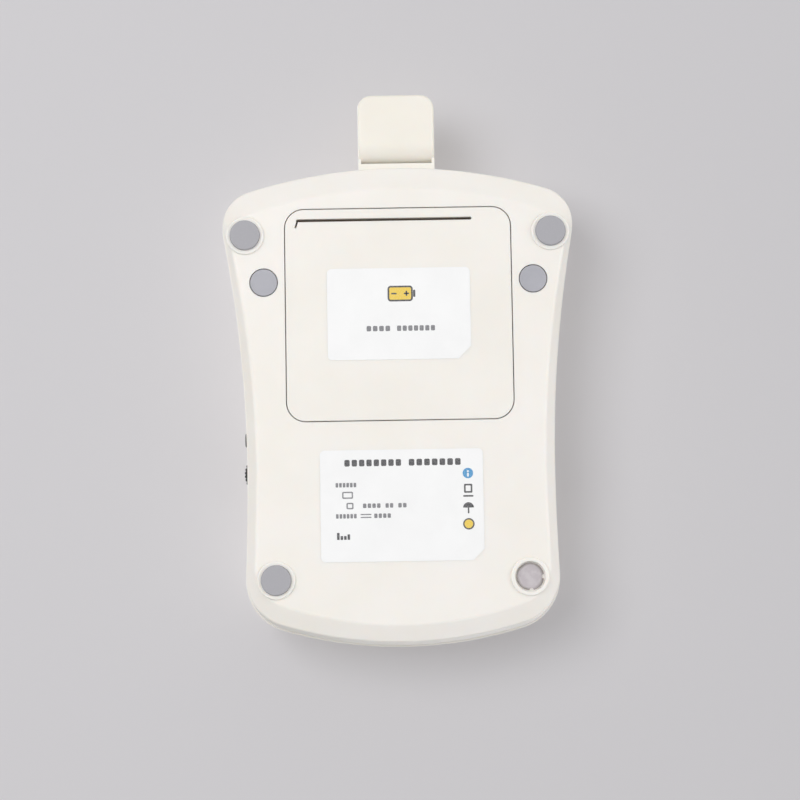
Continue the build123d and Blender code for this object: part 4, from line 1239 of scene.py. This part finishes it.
class KeyMark(Enum):
    """The plain sign on each key, by the key's CAD node."""

    POWER = "power_key"
    MODE = "mode_key"
    MEMORY = "memory_key"
    LIGHT = "backlight_key"


@dataclass
class Keypad(SubAssembly):
    """Four keys in the face over a silicone mat, each with a plain printed sign."""

    nodes: Mapping[str, Finish] = field(
        default_factory=lambda: {
            "power_key": KEY_RED,
            "mode_key": KEY_GREY,
            "memory_key": KEY_GREY,
            "backlight_key": KEY_GREY,
            "keypad_mat": MAT_SILICONE,
        }
    )
    bodies: Mapping[KeyMark, str] = field(
        default_factory=lambda: {
            KeyMark.POWER: "power_button",
            KeyMark.MODE: "mode_button",
            KeyMark.MEMORY: "memory_button",
            KeyMark.LIGHT: "backlight_button",
        }
    )
    stroke: float = 0.55
    power_centre: Point = (0.0, -0.2)
    power_radius: float = 1.9
    power_turn: Span = (125, 415)
    power_bar_level: float = 1.3
    power_bar_length: float = 2.2
    card: Block = Block((0.0, 0.0), 4.0, 3.6, 0.5, hole=(2.9, 2.5), hole_radius=0.3)
    chip: Block = Block((0.0, 0.0), 1.2, 1.2, 0.3)
    menu_length: float = 4.2
    menu_levels: Sequence[float] = (-1.3, 0.0, 1.3)
    sun_radius: float = 1.1
    ray_reach: float = 2.1
    rays: int = 8

    def sign(self, mark: KeyMark) -> list[Mark]:
        """Draw one key's sign.

        Args:
            mark: which key it is for.

        Returns:
            The sign's strokes.
        """
        stroke = self.stroke
        if mark is KeyMark.POWER:
            open_ring = Arc(self.power_centre, self.power_radius, stroke, *self.power_turn)
            return [open_ring, Block((0.0, self.power_bar_level), stroke, self.power_bar_length)]
        if mark is KeyMark.MODE:
            return [Block((0.0, level), self.menu_length, stroke) for level in self.menu_levels]
        if mark is KeyMark.MEMORY:
            return [self.card, self.chip]
        turns = [2 * math.pi * i / self.rays for i in range(self.rays)]
        ends = [(self.ray_reach * math.cos(a), self.ray_reach * math.sin(a)) for a in turns]
        sun = Disc((0.0, 0.0), self.sun_radius, steps=28)
        return [sun] + [Disc(end, stroke / 2, steps=12) for end in ends]

    def build(self) -> None:
        """Print each key's sign."""
        for mark, body in self.bodies.items():
            sheet = sheet_on(mark.value, False)
            name = f"{mark.name.lower()}_key_sign"
            printed(name, sheet, self.sign(mark), ink(InkTone.WHITE), body)


@dataclass
class CircuitBoard(SubAssembly):
    """The board with its chips, shield, screws and charge light."""

    nodes: Mapping[str, Finish] = field(
        default_factory=lambda: {
            "main_board": BOARD_GREEN,
            "board_chips": CHIP_EPOXY,
            "shield_can": CAN_TIN,
            "board_screws": SCREW_ZINC,
            "charge_light": LIGHT_EPOXY,
            "light_pipe": PIPE_CLEAR,
        }
    )


@dataclass
class SideControls(SubAssembly):
    """What shows in the side walls: volume wheel, phone jack, charge jack and probe socket."""

    nodes: Mapping[str, Finish] = field(
        default_factory=lambda: {
            "volume_wheel": BLACK_ABS,
            "volume_pot": CHIP_EPOXY,
            "phone_jack": JACK_NYLON,
            "charge_jack": BLACK_ABS,
            "probe_socket": NICKEL,
            "socket_nut": NICKEL,
            "socket_pins": GOLD_PLATE,
        }
    )


@dataclass
class Speaker(SubAssembly):
    """The speaker under the face's holes, behind a dust cloth."""

    nodes: Mapping[str, Finish] = field(
        default_factory=lambda: {
            "speaker_mesh": DUST_CLOTH,
            "speaker_frame": BASKET_BLACK,
            "speaker_cone": CONE_PULP,
            "speaker_magnet": MAGNET_GREY,
        }
    )


class SheetSide(Enum):
    """Which side of a stage sheet shows. From the other side the eye looks through it."""

    ABOVE = 1
    BELOW = -1


@dataclass
class StageSheet:
    """A pale paper sheet that shows from one side only and fades into the background far out."""

    name: str
    level: float
    side: SheetSide
    colour: str
    backdrop: str
    radius: float = 4.0
    fade_start: float = 0.3
    fade_end: float = 1.1
    steps: int = 96

    def paper(self) -> bpy.types.Material:
        """Make the sheet's material.

        Returns:
            Matt paper that goes over into the background far out, and is clear from its other side.
        """
        material = bpy.data.materials.new(self.name)
        material.use_nodes = True
        tree = material.node_tree
        tree.nodes.clear()
        coords = add_node(tree, "ShaderNodeTexCoord").outputs["Object"]
        matt = add_node(tree, "ShaderNodeBsdfDiffuse", values={"Color": linear(self.colour)})
        far = add_node(tree, "ShaderNodeEmission", values={"Color": linear(self.backdrop), "Strength": 1.0})
        reach = add_node(
            tree, "ShaderNodeVectorMath", settings={"operation": "LENGTH"}, links={0: coords}
        ).outputs["Value"]
        fade = add_node(
            tree,
            "ShaderNodeMapRange",
            settings={"interpolation_type": "SMOOTHSTEP"},
            values={"From Min": self.fade_start, "From Max": self.fade_end},
            links={"Value": reach},
        ).outputs[0]
        seen = add_node(
            tree, "ShaderNodeMixShader", links={0: fade, 1: matt.outputs[0], 2: far.outputs[0]}
        ).outputs[0]
        clear = add_node(tree, "ShaderNodeBsdfTransparent").outputs[0]
        back = add_node(tree, "ShaderNodeNewGeometry").outputs["Backfacing"]
        one_sided = add_node(tree, "ShaderNodeMixShader", links={0: back, 1: seen, 2: clear}).outputs[0]
        add_node(tree, "ShaderNodeOutputMaterial", links={"Surface": one_sided})
        return material

    def build(self) -> bpy.types.Object:
        """Lay the sheet.

        Returns:
            The sheet.
        """
        mesh = bmesh.new()
        turns = [2 * math.pi * i / self.steps * self.side.value for i in range(self.steps)]
        rim = [(self.radius * math.cos(a), self.radius * math.sin(a), 0.0) for a in turns]
        mesh.faces.new([mesh.verts.new(point) for point in rim])
        data = bpy.data.meshes.new(self.name)
        mesh.to_mesh(data)
        mesh.free()
        data.materials.append(self.paper())
        sheet = bpy.data.objects.new(self.name, data)
        sheet.location.z = self.level
        bpy.context.scene.collection.objects.link(sheet)
        # Only the camera sees the sheet: it shades nothing and throws no light back at the object
        sheet.visible_shadow = False
        sheet.visible_glossy = False
        sheet.visible_transmission = False
        sheet.visible_diffuse = False
        log.info("%s lies at %.1f mm", self.name, self.level / MM)
        return sheet


@dataclass
class Lamp:
    """A square soft box, set by the share of full light that it gives a level surface."""

    name: str
    place: tuple[float, float, float]
    share: float
    size: float = 0.9
    aim: tuple[float, float, float] = (0.0, 0.0, 0.02)
    flagged: bool = False

    def build(self, sheets: Sequence[bpy.types.Object]) -> None:
        """Hang the lamp and aim it.

        Args:
            sheets: the stage's sheets, which a flagged lamp doesn't reach.
        """
        place, aim = Vector(self.place), Vector(self.aim)
        beam = aim - place
        slant = abs(beam.z) / beam.length
        light = bpy.data.lights.new(self.name, "AREA")
        light.shape = "SQUARE"
        light.size = self.size
        light.energy = math.pi**2 * beam.length_squared * self.share / slant
        lamp = bpy.data.objects.new(self.name, light)
        lamp.location = place
        lamp.rotation_mode = "QUATERNION"
        lamp.rotation_quaternion = beam.to_track_quat("-Z", "Y")
        lamp.visible_camera = False
        bpy.context.scene.collection.objects.link(lamp)
        if self.flagged:
            flag = bpy.data.collections.new(f"{self.name}_flag")
            for sheet in sheets:
                flag.objects.link(sheet)
            for entry in flag.collection_objects:
                entry.light_linking.link_state = "EXCLUDE"
            lamp.light_linking.receiver_collection = flag
        log.info("%s gives %.0f%% of the light", self.name, 100 * self.share)


@dataclass
class Studio:
    """The pale stage. The unit was photographed lying on its face and stands on its feet here.

    So one sheet lies under the feet and shows from above, and another touches the display's
    face and shows from below, where the main camera is. Each has soft lamps on its own side.
    """

    table_colour: str = "#e6e4e7"
    floor_colour: str = "#dad9db"
    backdrop: str = "#d0cfd2"
    ambient: float = 0.54
    horizon_share: float = 0.85
    full_rise: float = 0.6
    air_gap: float = 0.0001
    lamps: Sequence[Lamp] = (
        Lamp("key_below", (0.50, 0.24, -1.10), 0.26, 0.7),
        Lamp("left_below", (1.10, 0.10, -0.85), 0.09, 0.9, flagged=True),
        Lamp("right_below", (-1.10, 0.10, -0.85), 0.19, 0.9, flagged=True),
        Lamp("key_above", (0.55, 0.50, 1.10), 0.42, 0.8),
        Lamp("fill_above", (-0.60, -0.60, 1.10), 0.12, 1.4),
    )

    def sky(self) -> None:
        """Light the background: pale to the eye and in gloss, dimmer as light on the object."""
        world = bpy.data.worlds.new("pale_room")
        world.use_nodes = True
        tree = world.node_tree
        tree.nodes.clear()
        rays = add_node(tree, "ShaderNodeLightPath")
        direct = rays.outputs["Is Camera Ray"]
        for kind in ("Is Glossy Ray", "Is Transmission Ray"):
            direct = add_node(
                tree,
                "ShaderNodeMath",
                settings={"operation": "MAXIMUM"},
                links={0: direct, 1: rays.outputs[kind]},
            ).outputs[0]
        way = add_node(tree, "ShaderNodeTexCoord").outputs["Generated"]
        rise = add_node(tree, "ShaderNodeSeparateXYZ", links={0: way}).outputs["Z"]
        slope = add_node(
            tree, "ShaderNodeMath", settings={"operation": "ABSOLUTE"}, links={0: rise}
        ).outputs[0]
        horizon = self.ambient * self.horizon_share
        level = add_node(
            tree,
            "ShaderNodeMapRange",
            values={"From Max": self.full_rise, "To Min": horizon, "To Max": self.ambient},
            links={"Value": slope},
        ).outputs[0]
        soft = add_node(
            tree, "ShaderNodeBackground", values={"Color": (1.0, 1.0, 1.0, 1.0)}, links={"Strength": level}
        ).outputs[0]
        pale = add_node(
            tree, "ShaderNodeBackground", values={"Color": linear(self.backdrop), "Strength": 1.0}
        ).outputs[0]
        mixed = add_node(tree, "ShaderNodeMixShader", links={0: direct, 1: soft, 2: pale}).outputs[0]
        add_node(tree, "ShaderNodeOutputWorld", links={"Surface": mixed})
        bpy.context.scene.world = world

    def build(self) -> None:
        """Lay both sheets, hang the lamps and light the background."""
        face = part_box("front_housing")[1].z
        sheets = [
            StageSheet(name, level, side, colour, self.backdrop).build()
            for name, level, side, colour in (
                ("table_sheet", face + self.air_gap, SheetSide.BELOW, self.table_colour),
                ("floor_sheet", -self.air_gap, SheetSide.ABOVE, self.floor_colour),
            )
        ]
        for lamp in self.lamps:
            lamp.build(sheets)
        self.sky()


@dataclass(frozen=True)
class PhotoCamera:
    """The camera of the photograph: square on to the underside, a little tilted, from 0.76 m."""

    lens_mm: float = 106.0
    place_mm: tuple[float, float, float] = (3.098, -79.112, -739.597)
    tilt_rad: tuple[float, float, float] = (-0.0926, -0.0025, 0.0165)

    def build(self) -> None:
        """Make the camera and set it as the scene's own."""
        data = bpy.data.cameras.new("photo_camera")
        data.lens = self.lens_mm
        data.clip_end = 20.0
        camera = bpy.data.objects.new("photo_camera", data)
        turn = Matrix.Rotation(math.pi, 4, "Y")
        for angle, axis in zip(self.tilt_rad, "XYZ"):
            turn = Matrix.Rotation(angle, 4, axis) @ turn
        camera.matrix_world = Matrix.Translation(Vector(self.place_mm) * MM) @ turn
        bpy.context.scene.collection.objects.link(camera)
        bpy.context.scene.camera = camera
        log.info("camera at %s mm", self.place_mm)


def main() -> None:
    """Dress the model, print its marks, and set the stage, the lamps and the camera."""
    scene = bpy.context.scene
    for old in [o for o in scene.objects if o.type in {"LIGHT", "CAMERA"}]:
        bpy.data.objects.remove(old)
    scene.view_settings.view_transform = "Standard"
    PhotoCamera().build()
    Studio().build()
    for group in (
        Shell(),
        FeetAndPlugs(),
        CoverSticker(),
        BackSticker(),
        BatteryPack(),
        Display(),
        Keypad(),
        CircuitBoard(),
        SideControls(),
        Speaker(),
    ):
        group.dress()
        group.build()


if __name__ == "__main__":
    logging.basicConfig(level=logging.INFO, format="%(message)s")
    main()
